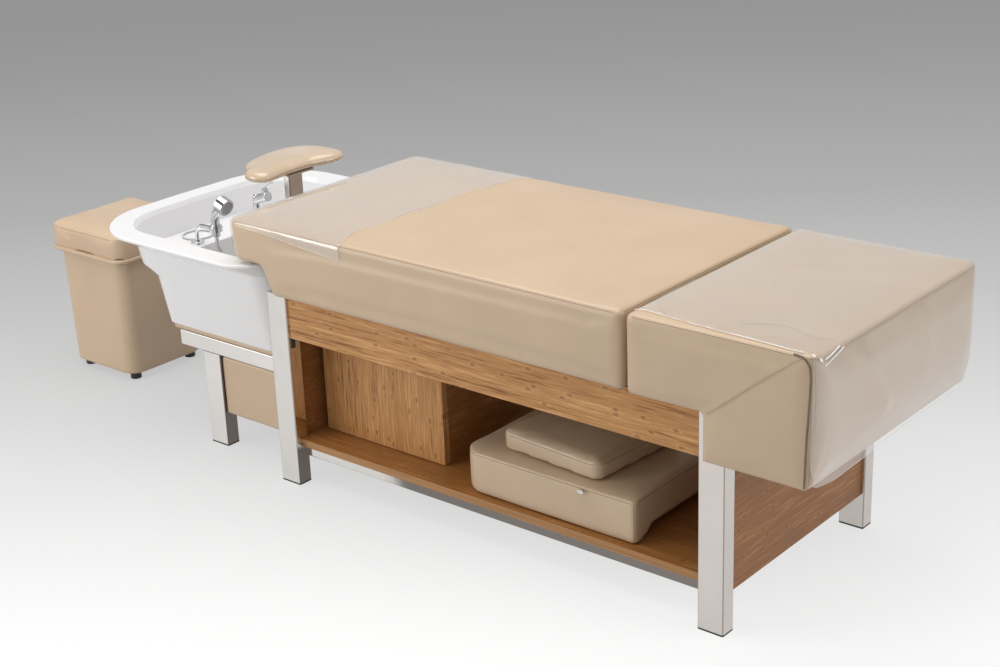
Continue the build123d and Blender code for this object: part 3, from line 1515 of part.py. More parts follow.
with BuildPart() as neck_pad:
    extrude(pad_outline(pad_bottom, 1.0), amount=pad_thick)
    fillet(neck_pad.edges().group_by(Axis.Z)[-1], radius=pad_edge)
    fillet(neck_pad.edges().group_by(Axis.Z)[0], radius=pad_edge / 2)
    extrude(
        pad_outline(pad_bottom, pad_board_share + fit_gap / pad_depth * 2),
        amount=pad_board_thick + fit_gap,
        mode=Mode.SUBTRACT,
    )
finish(neck_pad, "neck_rest_pad")

# Storage stool: tapered box on four feet, lid with a locating board and a crowned seat cushion.
stool_x = bed_head - stool_reach + stool_side / 2


def stool_outline(height, side, corner):
    """A level section of the stool."""
    with BuildSketch(Plane.XY.offset(height)) as outline:
        with Locations((stool_x, stool_shift)):
            RectangleRounded(side, side, corner)
    return outline.sketch


with BuildPart() as stool_box:
    loft(
        [
            stool_outline(stool_foot_height, stool_body_low, stool_corner),
            stool_outline(lid_bottom - soft_gap, stool_body_top, stool_corner),
        ],
        ruled=True,
    )
    loft(
        [
            stool_outline(
                stool_foot_height + stool_wall, stool_body_low - 2 * stool_wall, stool_corner - stool_wall
            ),
            stool_outline(
                lid_bottom + cut_over, stool_body_top - 2 * stool_wall, stool_corner - stool_wall
            ),
        ],
        ruled=True,
        mode=Mode.SUBTRACT,
    )
finish(stool_box, "stool_box")

stool_foot_place = stool_body_low / 2 - stool_foot_inset
with BuildPart() as stool_feet:
    with BuildSketch():
        with Locations((stool_x, stool_shift)):
            with GridLocations(2 * stool_foot_place, 2 * stool_foot_place, 2, 2):
                Circle(stool_foot_radius)
    extrude(amount=stool_foot_height)
    fillet(stool_feet.edges().group_by(Axis.Z)[0], radius=step_gap / 2)
finish(stool_feet, "stool_feet")

with BuildPart() as lid_board:
    extrude(
        stool_outline(lid_bottom, stool_side - 2 * step_gap, stool_corner - step_gap), amount=lid_board_thick
    )
    extrude(
        stool_outline(
            lid_bottom, stool_body_top - 2 * stool_wall - 2 * step_gap, stool_corner - stool_wall
        ),
        amount=-lid_lip,
    )
finish(lid_board, "stool_lid_board")

lid_seam = stool_height - lid_crown
with BuildPart() as lid_cushion:
    extrude(
        cross_outline(
            stool_side / 2, lid_bottom, lid_seam, lid_crown, pillow_edge,
            Plane(origin=(stool_x, stool_shift, 0), x_dir=(0, 1, 0), z_dir=(1, 0, 0)),
        ),
        amount=stool_side,
        both=True,
    )
    extrude(
        cross_outline(
            stool_side / 2, lid_bottom, lid_seam, lid_crown, pillow_edge,
            Plane(origin=(stool_x, stool_shift, 0), x_dir=(1, 0, 0), z_dir=(0, -1, 0)),
        ),
        amount=stool_side,
        both=True,
        mode=Mode.INTERSECT,
    )
    extrude(
        plan_outline(
            stool_x - stool_side / 2, stool_x + stool_side / 2, stool_side / 2, stool_corner, stool_corner,
            cushion_draw, middle_y=stool_shift,
        ),
        amount=stool_height + cut_over,
        mode=Mode.INTERSECT,
    )
    extrude(
        stool_outline(lid_bottom - cut_over, stool_side - 2 * step_gap + fit_gap, stool_corner - step_gap),
        amount=lid_board_thick + fit_gap + cut_over,
        mode=Mode.SUBTRACT,
    )
finish(lid_cushion, "stool_lid_cushion")

# Filler cushion on the shelf: arched underneath, crowned on top, one rounded corner at the head end.
filler_foot_x = filler_head + filler_length
filler_bottom = shelf_top + soft_gap
filler_seam = filler_bottom + filler_edge_height
filler_mid_y = (filler_far - filler_near) / 2
with BuildPart() as filler:
    with BuildSketch(Plane.YZ.offset(filler_head - cut_over)):
        with BuildLine():
            Polyline(
                (-filler_near + filler_foot, filler_bottom),
                (-filler_near, filler_bottom),
                (-filler_near, filler_seam),
            )
            ThreePointArc(
                (-filler_near, filler_seam),
                (filler_mid_y, filler_seam + filler_crown),
                (filler_far, filler_seam),
            )
            Polyline(
                (filler_far, filler_seam),
                (filler_far, filler_bottom),
                (filler_far - filler_foot, filler_bottom),
            )
            RadiusArc(
                (filler_far - filler_foot, filler_bottom),
                (filler_far - filler_foot - filler_arch_run, filler_bottom + filler_arch),
                filler_arch_run + filler_arch,
                short_sagitta=True,
            )
            Line(
                (filler_far - filler_foot - filler_arch_run, filler_bottom + filler_arch),
                (-filler_near + filler_foot + filler_arch_run, filler_bottom + filler_arch),
            )
            RadiusArc(
                (-filler_near + filler_foot + filler_arch_run, filler_bottom + filler_arch),
                (-filler_near + filler_foot, filler_bottom),
                filler_arch_run + filler_arch,
                short_sagitta=True,
            )
        make_face()
    extrude(amount=filler_length + 2 * cut_over)
    extrude(
        plan_outline(
            filler_head, filler_foot_x, (filler_near + filler_far) / 2, filler_corner,
            filler_square_corner, cushion_draw, middle_y=filler_mid_y,
        ),
        amount=cushion_top,
        mode=Mode.INTERSECT,
    )
finish(filler, "filler_cushion")

pillow_bottom = filler_seam + filler_crown + soft_gap
pillow_x = filler_head + filler_length / 2 - pillow_lag
pillow_seam = pillow_bottom + pillow_thick - pillow_crown
pillow_turned = Plane(origin=(pillow_x, pillow_shift, 0)).rotated((0, 0, pillow_turn))
with BuildPart() as pillow:
    extrude(
        cross_outline(
            pillow_width / 2, pillow_bottom, pillow_seam, pillow_crown, pillow_edge,
            Plane(origin=pillow_turned.origin, x_dir=pillow_turned.y_dir, z_dir=pillow_turned.x_dir),
        ),
        amount=pillow_length,
        both=True,
    )
    extrude(
        cross_outline(
            pillow_length / 2, pillow_bottom, pillow_seam, pillow_crown, pillow_edge,
            Plane(origin=pillow_turned.origin, x_dir=pillow_turned.x_dir, z_dir=-pillow_turned.y_dir),
        ),
        amount=pillow_width,
        both=True,
        mode=Mode.INTERSECT,
    )
    with BuildSketch(pillow_turned):
        RectangleRounded(pillow_length, pillow_width, pillow_corner)
    extrude(amount=cushion_top, mode=Mode.INTERSECT)
finish(pillow, "pillow")

with BuildPart() as zip_pull:
    with BuildSketch(Plane.XZ.offset(filler_near - cushion_draw * 2 / 3)):
        with Locations((filler_head + filler_length * zip_place_share, filler_seam - zip_width)):
            SlotOverall(zip_length, zip_width)
    extrude(amount=zip_thick)
finish(zip_pull, "filler_zip_pull")
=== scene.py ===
"""Visual model of a hair washing bed: a steel and bamboo bed with a shelf and a cabinet, its cushions and
clear films, a white basin with taps on its own stand, a neck rest, a storage stool and loose cushions.

Metres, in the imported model's frame: X from the head (-X) to the foot (+X), Z up, the near side faces -Y.
"""

import logging
import math
from dataclasses import dataclass, field
from enum import Enum
from typing import Callable, Sequence

import bmesh
import bpy
import numpy as np
from mathutils import Matrix, Vector, noise
from mathutils.bvhtree import BVHTree


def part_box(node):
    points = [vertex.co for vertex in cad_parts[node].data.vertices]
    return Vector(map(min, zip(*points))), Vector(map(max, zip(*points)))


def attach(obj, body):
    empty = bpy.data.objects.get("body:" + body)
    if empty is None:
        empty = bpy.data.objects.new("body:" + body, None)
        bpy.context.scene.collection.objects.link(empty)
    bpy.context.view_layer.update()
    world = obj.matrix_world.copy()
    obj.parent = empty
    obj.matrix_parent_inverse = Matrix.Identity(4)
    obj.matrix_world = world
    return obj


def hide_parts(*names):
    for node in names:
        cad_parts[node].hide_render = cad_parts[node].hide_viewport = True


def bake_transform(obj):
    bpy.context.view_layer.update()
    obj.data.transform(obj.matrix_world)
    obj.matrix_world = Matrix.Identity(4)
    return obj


log = logging.getLogger("hair_washing_bed")

Colour = tuple[float, float, float]
Point = tuple[float, float, float]

BED_HEAD = -0.1972
HALF_CUSHION = 0.3246
CUSHION_TOP = 0.6415
DECK = 0.475


class Axis(Enum):
    """A direction of the model, for grain and brushing."""

    X = 0
    Y = 1
    Z = 2


# Node trees


class Shader:
    """A material whose node tree is filled step by step."""

    def __init__(self, name: str) -> None:
        """Starts a material with a Principled shader.

        Args:
            name: The material's name.
        """
        self.material = bpy.data.materials.new(name)
        self.material.use_nodes = True
        self.tree = self.material.node_tree
        self.principled = self.tree.nodes["Principled BSDF"]
        self.output = self.tree.nodes["Material Output"]

    def add(self, kind: str, **settings: object) -> bpy.types.Node:
        """Adds a node and sets its properties.

        Args:
            kind: The node's type name.
            **settings: Properties of the node.

        Returns:
            The new node.
        """
        node = self.tree.nodes.new(kind)
        for key, value in settings.items():
            setattr(node, key, value)
        return node

    def feed(self, socket: bpy.types.NodeSocket, value: object) -> None:
        """Links an output to an input, or sets the input's value.

        Args:
            socket: The input.
            value: Another node's output, or a plain value.
        """
        if isinstance(value, bpy.types.NodeSocket):
            self.tree.links.new(value, socket)
        else:
            socket.default_value = value

    def surface(self, **values: object) -> None:
        """Sets or links inputs of the Principled shader, by name with underscores for spaces."""
        for key, value in values.items():
            if isinstance(value, tuple) and len(value) == 3:
                value = (*value, 1.0)
            self.feed(self.principled.inputs[key.replace("_", " ")], value)

    def place(self) -> bpy.types.NodeSocket:
        """Returns the piece's own coordinates in metres."""
        return self.add("ShaderNodeTexCoord").outputs["Object"]

    def mapped(self, coordinates: bpy.types.NodeSocket, scale: Point, offset: Point = (0, 0, 0)
               ) -> bpy.types.NodeSocket:
        """Scales and shifts coordinates.

        Args:
            coordinates: The coordinates to change.
            scale: Factors along X, Y and Z.
            offset: Shift added after scaling.

        Returns:
            The changed coordinates.
        """
        node = self.add("ShaderNodeMapping")
        self.feed(node.inputs["Vector"], coordinates)
        node.inputs["Scale"].default_value = scale
        node.inputs["Location"].default_value = offset
        return node.outputs["Vector"]

    def noise(self, coordinates: bpy.types.NodeSocket, scale: float, detail: float = 3.0,
              rough: float = 0.55) -> bpy.types.NodeSocket:
        """Returns a smooth noise between 0 and 1.

        Args:
            coordinates: Where the noise is read.
            scale: Its frequency, per metre.
            detail: Its octaves.
            rough: How strong the finer octaves are.

        Returns:
            The noise's value.
        """
        node = self.add("ShaderNodeTexNoise")
        self.feed(node.inputs["Vector"], coordinates)
        node.inputs["Scale"].default_value = scale
        node.inputs["Detail"].default_value = detail
        node.inputs["Roughness"].default_value = rough
        return node.outputs["Fac"]

    def math(self, operation: str, a: object, b: object = 0.0, clamp: bool = False
             ) -> bpy.types.NodeSocket:
        """Returns one number worked out from two.

        Args:
            operation: The Math node's operation.
            a: First value or output.
            b: Second value or output.
            clamp: Whether the result stays from 0 to 1.

        Returns:
            The result.
        """
        node = self.add("ShaderNodeMath", operation=operation, use_clamp=clamp)
        self.feed(node.inputs[0], a)
        self.feed(node.inputs[1], b)
        return node.outputs[0]

    def ranged(self, value: bpy.types.NodeSocket, low: float, high: float, to_low: float = 0.0,
               to_high: float = 1.0) -> bpy.types.NodeSocket:
        """Returns a value taken smoothly from one range to another.

        Args:
            value: The value.
            low: Start of its range.
            high: End of its range.
            to_low: Result at the start.
            to_high: Result at the end.

        Returns:
            The result.
        """
        node = self.add("ShaderNodeMapRange", interpolation_type="SMOOTHSTEP")
        self.feed(node.inputs["Value"], value)
        node.inputs["From Min"].default_value = low
        node.inputs["From Max"].default_value = high
        node.inputs["To Min"].default_value = to_low
        node.inputs["To Max"].default_value = to_high
        return node.outputs["Result"]

    def ramp(self, value: bpy.types.NodeSocket, stops: Sequence[tuple[float, Colour]]
             ) -> bpy.types.NodeSocket:
        """Returns a colour read from a value.

        Args:
            value: The value from 0 to 1.
            stops: Places and colours.

        Returns:
            The colour.
        """
        node = self.add("ShaderNodeValToRGB")
        self.feed(node.inputs["Fac"], value)
        elements = node.color_ramp.elements
        while len(elements) < len(stops):
            elements.new(0.5)
        for element, (place, colour) in zip(elements, stops):
            element.position = place
            element.color = (*colour, 1.0)
        return node.outputs["Color"]

    def mix(self, amount: object, a: object, b: object) -> bpy.types.NodeSocket:
        """Returns a mix of two colours.

        Args:
            amount: How much of the second.
            a: First colour.
            b: Second colour.

        Returns:
            The mixed colour.
        """
        node = self.add("ShaderNodeMix", data_type="RGBA")
        self.feed(node.inputs["Factor"], amount)
        for socket, value in ((node.inputs[6], a), (node.inputs[7], b)):
            if isinstance(value, tuple) and len(value) == 3:
                value = (*value, 1.0)
            self.feed(socket, value)
        return node.outputs[2]

    def bump(self, height: bpy.types.NodeSocket, depth: float, strength: float = 1.0,
             below: bpy.types.NodeSocket | None = None) -> bpy.types.NodeSocket:
        """Returns a bumped normal.

        Args:
            height: The height from 0 to 1.
            depth: Its depth in metres.
            strength: How much of it shows.
            below: A normal that it adds to.

        Returns:
            The normal.
        """
        node = self.add("ShaderNodeBump")
        node.inputs["Strength"].default_value = strength
        node.inputs["Distance"].default_value = depth
        self.feed(node.inputs["Height"], height)
        if below is not None:
            self.feed(node.inputs["Normal"], below)
        return node.outputs["Normal"]


# Finishes


@dataclass(frozen=True)
class Bamboo:
    """Lacquered caramel bamboo board: narrow strips, fine fibres and dark growth nodes."""

    name: str
    grain: Axis
    across: Axis
    light: Colour = (0.740, 0.420, 0.180)
    middle: Colour = (0.540, 0.270, 0.100)
    dark: Colour = (0.240, 0.096, 0.028)
    strip: float = 0.021

    def material(self) -> bpy.types.Material:
        """Returns the finish's material."""
        s = Shader(self.name)
        split = s.add("ShaderNodeSeparateXYZ")
        s.feed(split.inputs[0], s.place())
        depth = ({0, 1, 2} - {self.grain.value, self.across.value}).pop()
        join = s.add("ShaderNodeCombineXYZ")
        for target, source in enumerate((self.grain.value, self.across.value, depth)):
            s.feed(join.inputs[target], split.outputs[source])
        board = join.outputs[0]
        across = split.outputs[self.across.value]
        lane = s.math("FLOOR", s.math("DIVIDE", across, self.strip))
        tone = s.add("ShaderNodeTexWhiteNoise", noise_dimensions="1D")
        s.feed(tone.inputs["W"], lane)
        fibre = s.noise(s.mapped(board, (14.0, 430.0, 430.0)), 1.0, 3.0, 0.6)
        vein = s.noise(s.mapped(board, (9.0, 185.0, 185.0), (7.0, 2.0, 0.0)), 1.0, 2.0, 0.55)
        stroke = s.noise(s.mapped(board, (16.0, 235.0, 235.0), (3.0, 9.0, 4.0)), 1.0, 2.0, 0.5)
        cloud = s.noise(s.mapped(board, (3.0, 22.0, 22.0), (1.0, 5.0, 3.0)), 1.0, 2.0)
        shade = s.math("ADD", s.math("MULTIPLY", fibre, 0.40), s.math("MULTIPLY", vein, 0.62))
        shade = s.math("ADD", shade, s.math("MULTIPLY", cloud, 0.16))
        shade = s.math("ADD", shade, s.math("MULTIPLY", tone.outputs["Value"], 0.08))
        shade = s.ranged(shade, 0.40, 0.84)
        colour = s.ramp(shade, ((0.0, self.dark), (0.36, self.middle), (0.64, self.middle),
                                (1.0, self.light)))
        colour = s.mix(s.ranged(stroke, 0.53, 0.66, 0.0, 0.26), colour, self.dark)
        halo = self.knots(s, board, 0.088, 0.026, 0.0200, 0.0085, 0.38)
        knots = self.knots(s, board, 0.088, 0.026, 0.0120, 0.0058, 0.38)
        colour = s.mix(s.math("MULTIPLY", halo, 0.40), colour, self.light)
        wobble = s.ranged(s.noise(s.mapped(board, (190.0, 330.0, 330.0)), 1.0, 2.0), 0.26, 0.52)
        marks = s.math("MULTIPLY", knots, wobble, True)
        colour = s.mix(s.math("MULTIPLY", marks, 0.72), colour, (0.150, 0.052, 0.014))
        in_strip = s.math("FRACT", s.math("DIVIDE", across, self.strip))
        seam = s.math("ABSOLUTE", s.math("SUBTRACT", in_strip, 0.5))
        line = s.ranged(seam, 0.486, 0.5, 0.0, 0.24)
        colour = s.mix(line, colour, (0.20, 0.085, 0.03))
        rough = s.ranged(fibre, 0.25, 0.80, 0.46, 0.34)
        s.surface(Base_Color=colour, Roughness=rough, Normal=s.bump(fibre, 0.00012, 0.45))
        s.principled.inputs["Coat Weight"].default_value = 0.06
        s.principled.inputs["Coat Roughness"].default_value = 0.22
        s.principled.inputs["Specular IOR Level"].default_value = 0.30
        return s.material

    def knots(self, s: Shader, board: bpy.types.NodeSocket, pitch: float, row: float, half_length: float,
              half_width: float, share: float) -> bpy.types.NodeSocket:
        """Returns scattered eye-shaped growth marks.

        Args:
            s: The material.
            board: Coordinates along, across and into the board.
            pitch: Mean spacing along the grain.
            row: Mean spacing across it.
            half_length: Half a mark's length.
            half_width: Half its width.
            share: The share of places with no mark.

        Returns:
            The marks, 1 at their middles.
        """
        cells = s.mapped(board, (1.0 / pitch, 1.0 / row, 0.0))
        cell = s.add("ShaderNodeTexVoronoi", feature="F1", voronoi_dimensions="2D")
        s.feed(cell.inputs["Vector"], cells)
        cell.inputs["Scale"].default_value = 1.0
        apart = s.add("ShaderNodeVectorMath", operation="SUBTRACT")
        s.feed(apart.inputs[0], cells)
        s.feed(apart.inputs[1], cell.outputs["Position"])
        sized = s.mapped(apart.outputs[0], (pitch / half_length, row / half_width, 0.0))
        length = s.add("ShaderNodeVectorMath", operation="LENGTH")
        s.feed(length.inputs[0], sized)
        eye = s.ranged(length.outputs["Value"], 0.15, 1.0, 1.0, 0.0)
        pick = s.add("ShaderNodeSeparateColor")
        s.feed(pick.inputs[0], cell.outputs["Color"])
        return s.math("MULTIPLY", eye, s.math("GREATER_THAN", pick.outputs[0], share))


@dataclass(frozen=True)
class EdgeBand:
    """Pale bamboo edge band with fine lengthwise lines."""

    name: str = "Pale bamboo edge band"

    def material(self) -> bpy.types.Material:
        """Returns the finish's material."""
        s = Shader(self.name)
        lines = s.noise(s.mapped(s.place(), (6.0, 300.0, 900.0)), 1.0, 3.0)
        colour = s.ramp(lines, ((0.3, (0.30, 0.135, 0.045)), (0.7, (0.50, 0.26, 0.10))))
        s.surface(Base_Color=colour, Roughness=s.ranged(lines, 0.3, 0.8, 0.50, 0.38),
                  Normal=s.bump(lines, 0.0001, 0.5))
        return s.material


@dataclass(frozen=True)
class Plywood:
    """Birch plywood: pale face grain and darker glue lines on its edges."""

    name: str = "Birch plywood"

    def material(self) -> bpy.types.Material:
        """Returns the finish's material."""
        s = Shader(self.name)
        place = s.place()
        grain = s.noise(s.mapped(place, (5.0, 70.0, 300.0)), 1.0, 4.0)
        split = s.add("ShaderNodeSeparateXYZ")
        s.feed(split.inputs[0], place)
        ply = s.math("FRACT", s.math("MULTIPLY", split.outputs[2], 420.0))
        glue = s.ranged(ply, 0.82, 0.95, 0.0, 0.35)
        colour = s.ramp(grain, ((0.3, (0.46, 0.31, 0.17)), (0.7, (0.64, 0.47, 0.29))))
        s.surface(Base_Color=s.mix(glue, colour, (0.25, 0.14, 0.07)), Roughness=s.ranged(
            grain, 0.2, 0.8, 0.70, 0.58), Normal=s.bump(grain, 0.0002, 0.5))
        return s.material


@dataclass(frozen=True)
class Leathercloth:
    """Beige leathercloth: fine pebbled grain, soft shine and slight stains of tone."""

    name: str = "Beige leathercloth"
    colour: Colour = (0.600, 0.445, 0.300)
    shade: Colour = (0.565, 0.415, 0.275)
    rough: float = 0.36
    gloss: float = 0.0

    def material(self) -> bpy.types.Material:
        """Returns the finish's material."""
        s = Shader(self.name)
        place = s.place()
        cloud = s.noise(place, 6.0, 3.0)
        fine = s.noise(place, 900.0, 2.0)
        pebble = s.add("ShaderNodeTexVoronoi", feature="SMOOTH_F1")
        s.feed(pebble.inputs["Vector"], place)
        pebble.inputs["Scale"].default_value = 620.0
        pebble.inputs["Smoothness"].default_value = 0.6
        crease = s.noise(s.mapped(place, (16.0, 16.0, 34.0)), 1.0, 3.0, 0.5)
        tone = s.math("ADD", s.math("MULTIPLY", cloud, 0.8), s.math("MULTIPLY", fine, 0.25))
        colour = s.mix(s.ranged(tone, 0.36, 0.72), self.shade, self.colour)
        height = s.math("ADD", pebble.outputs["Distance"], s.math("MULTIPLY", fine, 0.4))
        soft = s.bump(crease, 0.0012, 0.20)
        rough = s.ranged(fine, 0.2, 0.8, self.rough - 0.05, self.rough + 0.05)
        s.surface(Base_Color=colour, Roughness=rough, Normal=s.bump(height, 0.00022, 0.38, soft))
        s.principled.inputs["Specular IOR Level"].default_value = 0.72
        s.principled.inputs["Coat Weight"].default_value = self.gloss
        s.principled.inputs["Coat Roughness"].default_value = 0.10
        s.principled.inputs["Sheen Weight"].default_value = 0.06
        s.principled.inputs["Sheen Roughness"].default_value = 0.5
        return s.material


@dataclass(frozen=True)
class Thread:
    """Twisted sewing thread a tone darker than the cover, or the edge of a folded seam, darker still as
    painted shade along the seam.
    """

    name: str = "Sewing thread"
    colour: Colour = (0.43, 0.30, 0.19)

    def material(self) -> bpy.types.Material:
        """Returns the finish's material."""
        s = Shader(self.name)
        twist = s.noise(s.mapped(s.place(), (2200.0, 2200.0, 1400.0)), 1.0, 2.0)
        low = tuple(0.8 * part for part in self.colour)
        s.surface(Base_Color=s.mix(twist, low, self.colour), Roughness=s.ranged(twist, 0.2, 0.8, 0.5, 0.7),
                  Normal=s.bump(twist, 0.0001, 0.6))
        return s.material


@dataclass(frozen=True)
class ClearFilm:
    """Clear soft plastic sheet: glossy, faintly milky, creased."""

    name: str = "Clear protective film"
    milk: Colour = (0.95, 0.94, 0.93)
    haze: float = 0.105

    def material(self) -> bpy.types.Material:
        """Returns the finish's material."""
        s = Shader(self.name)
        place = s.place()
        broad = s.noise(s.mapped(place, (3.0, 4.5, 3.0)), 1.0, 2.0, 0.5)
        thin = s.noise(s.mapped(place, (14.0, 8.0, 14.0)), 1.0, 2.0, 0.5)
        normal = s.bump(thin, 0.003, 0.12, s.bump(broad, 0.016, 0.18))
        s.surface(Base_Color=self.milk, Roughness=s.ranged(thin, 0.3, 0.7, 0.05, 0.10), Normal=normal)
        s.principled.inputs["Metallic"].default_value = 0.60
        facing = s.add("ShaderNodeLayerWeight")
        facing.inputs["Blend"].default_value = 0.5
        s.feed(facing.inputs["Normal"], normal)
        shine = s.math("MULTIPLY", s.math("POWER", facing.outputs["Facing"], 5.0), 0.85)
        haze = s.ranged(broad, 0.35, 0.75, 0.75 * self.haze, 1.25 * self.haze)
        cover = s.math("ADD", haze, s.math("ADD", shine, 0.035), True)
        clear = s.add("ShaderNodeBsdfTransparent")
        pick = s.add("ShaderNodeMixShader")
        s.feed(pick.inputs[0], cover)
        s.feed(pick.inputs[1], clear.outputs[0])
        s.feed(pick.inputs[2], s.principled.outputs[0])
        s.feed(s.output.inputs["Surface"], pick.outputs[0])
        return s.material


@dataclass(frozen=True)
class PolishedSteel:
    """Polished tube or plate, with faint lines from the polishing wheel and a slight waviness, and painted
    reflection in its colour: dark rounded edges and, on some tubes, dark stretches.
    """

    name: str
    along: Axis = Axis.Z
    colour: Colour = (0.80, 0.775, 0.74)
    rough: float = 0.09
    line: float = 0.00002
    # Strength of painted reflection: dark stretches along X on the rail.
    mirrored: float = 0.0
    # Height below which faces turned to +X get painted reflection: dark brown for the floor under the bed.
    shaded: float = 0.0

    def material(self) -> bpy.types.Material:
        """Returns the finish's material."""
        s = Shader(self.name)
        place = s.place()
        stretch = [700.0, 700.0, 700.0]
        stretch[self.along.value] = 6.0
        lines = s.noise(s.mapped(place, tuple(stretch)), 1.0, 2.0)
        wave = s.noise(place, 9.0, 1.0)
        smear = s.noise(place, 22.0, 3.0)
        low = tuple(0.965 * part for part in self.colour)
        colour = s.mix(s.ranged(smear, 0.3, 0.7), low, self.colour)
        # Painted reflection: the colour turns dark brown where the normal lies between two faces, a dark
        # line down each rounded edge.
        split = s.add("ShaderNodeSeparateXYZ")
        s.feed(split.inputs[0], s.add("ShaderNodeTexCoord").outputs["Normal"])
        facing = [s.math("ABSOLUTE", split.outputs[axis.value]) for axis in Axis if axis != self.along]
        corner = s.ranged(s.math("MINIMUM", *facing), 0.10, 0.45, 0.0, 0.62)
        colour = s.mix(corner, colour, (0.16, 0.13, 0.11))
        # Painted reflection: faces turned to +X go dark brown below the height in shaded, standing in for
        # the dark floor under the bed mirrored in the tube.
        if self.shaded:
            level = s.add("ShaderNodeSeparateXYZ")
            s.feed(level.inputs[0], place)
            painted_reflection_low = s.ranged(level.outputs[2], self.shaded - 0.01, self.shaded + 0.01, 0.86, 0.0)
            colour = s.mix(s.math("MULTIPLY", s.ranged(split.outputs[0], 0.5, 0.8), painted_reflection_low), colour,
                           (0.070, 0.048, 0.034))
        # Painted reflection: from about x 0.14 m on, the rail turns dark, standing in for darker
        # surroundings mirrored in it.
        if self.mirrored:
            run = s.add("ShaderNodeSeparateXYZ")
            s.feed(run.inputs[0], place)
            painted_reflection_run = s.math("ADD", run.outputs[0], s.math("MULTIPLY", smear, 0.06))
            colour = s.mix(s.ranged(painted_reflection_run, 0.14, 0.22, 0.0, self.mirrored), colour, (0.115, 0.095, 0.085))
        s.surface(Base_Color=colour, Metallic=1.0,
                  Roughness=s.ranged(smear, 0.3, 0.75, self.rough, self.rough + 0.02),
                  Normal=s.bump(lines, self.line, 0.5, s.bump(wave, 0.0006, 0.08)))
        return s.material


@dataclass(frozen=True)
class PlatedMetal:
    """Chrome or zinc plate over a cast or turned part, with optional painted reflection bands in its
    colour.
    """

    name: str
    colour: Colour = (0.82, 0.83, 0.85)
    rough: float = 0.05
    grain: float = 0.00003
    # Strength of the painted reflection bands.
    painted_reflection_bands: float = 0.0

    def material(self) -> bpy.types.Material:
        """Returns the finish's material."""
        s = Shader(self.name)
        place = s.place()
        mist = s.noise(place, 55.0, 3.0)
        pits = s.noise(place, 1500.0, 2.0)
        low = tuple(0.93 * part for part in self.colour)
        colour = s.mix(mist, low, self.colour)
        # Painted reflection: dark bands that follow the way the surface faces, standing in for chrome
        # mirroring dark surroundings.
        if self.painted_reflection_bands:
            facing = s.add("ShaderNodeVectorMath", operation="DOT_PRODUCT")
            s.feed(facing.inputs[0], s.add("ShaderNodeTexCoord").outputs["Normal"])
            facing.inputs[1].default_value = (0.55, 0.52, 0.62)
            wave = s.math("SINE", s.math("ADD", s.math("MULTIPLY", facing.outputs["Value"], 6.5), 0.6))
            colour = s.mix(s.ranged(wave, 0.25, 0.85, 0.0, self.painted_reflection_bands), colour, (0.075, 0.070, 0.066))
        s.surface(Base_Color=colour, Metallic=1.0,
                  Roughness=s.ranged(mist, 0.3, 0.75, self.rough, self.rough + 0.06),
                  Normal=s.bump(pits, self.grain, 0.4))
        return s.material


@dataclass(frozen=True)
class PaintedSteel:
    """Dark powder coat with a fine orange-peel."""

    name: str = "Dark powder coat"
    colour: Colour = (0.060, 0.056, 0.052)

    def material(self) -> bpy.types.Material:
        """Returns the finish's material."""
        s = Shader(self.name)
        peel = s.noise(s.place(), 800.0, 2.0)
        high = tuple(1.4 * part for part in self.colour)
        s.surface(Base_Color=s.mix(peel, self.colour, high), Metallic=0.3,
                  Roughness=s.ranged(peel, 0.3, 0.7, 0.42, 0.55), Normal=s.bump(peel, 0.0001, 0.5))
        return s.material


@dataclass(frozen=True)
class CastResin:
    """White gloss cast resin of the basin, with the slightest cloud of tone."""

    name: str = "White gloss resin"
    colour: Colour = (0.86, 0.86, 0.87)

    def material(self) -> bpy.types.Material:
        """Returns the finish's material."""
        s = Shader(self.name)
        place = s.place()
        cloud = s.noise(place, 4.0, 2.0)
        peel = s.noise(place, 60.0, 2.0)
        low = tuple(0.965 * part for part in self.colour)
        s.surface(Base_Color=s.mix(cloud, low, self.colour),
                  Roughness=s.ranged(cloud, 0.3, 0.7, 0.13, 0.20),
                  Normal=s.bump(peel, 0.0002, 0.12))
        s.principled.inputs["Specular IOR Level"].default_value = 0.50
        s.principled.inputs["Coat Weight"].default_value = 0.25
        s.principled.inputs["Coat Roughness"].default_value = 0.05
        return s.material


@dataclass(frozen=True)
class MouldedPlastic:
    """Moulded plastic or rubber with a fine spark-eroded texture."""

    name: str
    colour: Colour
    rough: float = 0.45

    def material(self) -> bpy.types.Material:
        """Returns the finish's material."""
        s = Shader(self.name)
        place = s.place()
        spark = s.noise(place, 1400.0, 2.0)
        dust = s.noise(place, 30.0, 3.0)
        high = tuple(min(1.0, 1.25 * part + 0.01) for part in self.colour)
        s.surface(Base_Color=s.mix(s.ranged(dust, 0.3, 0.8), self.colour, high),
                  Roughness=s.ranged(spark, 0.3, 0.7, self.rough - 0.05, self.rough + 0.08),
                  Normal=s.bump(spark, 0.00008, 0.5))
        return s.material


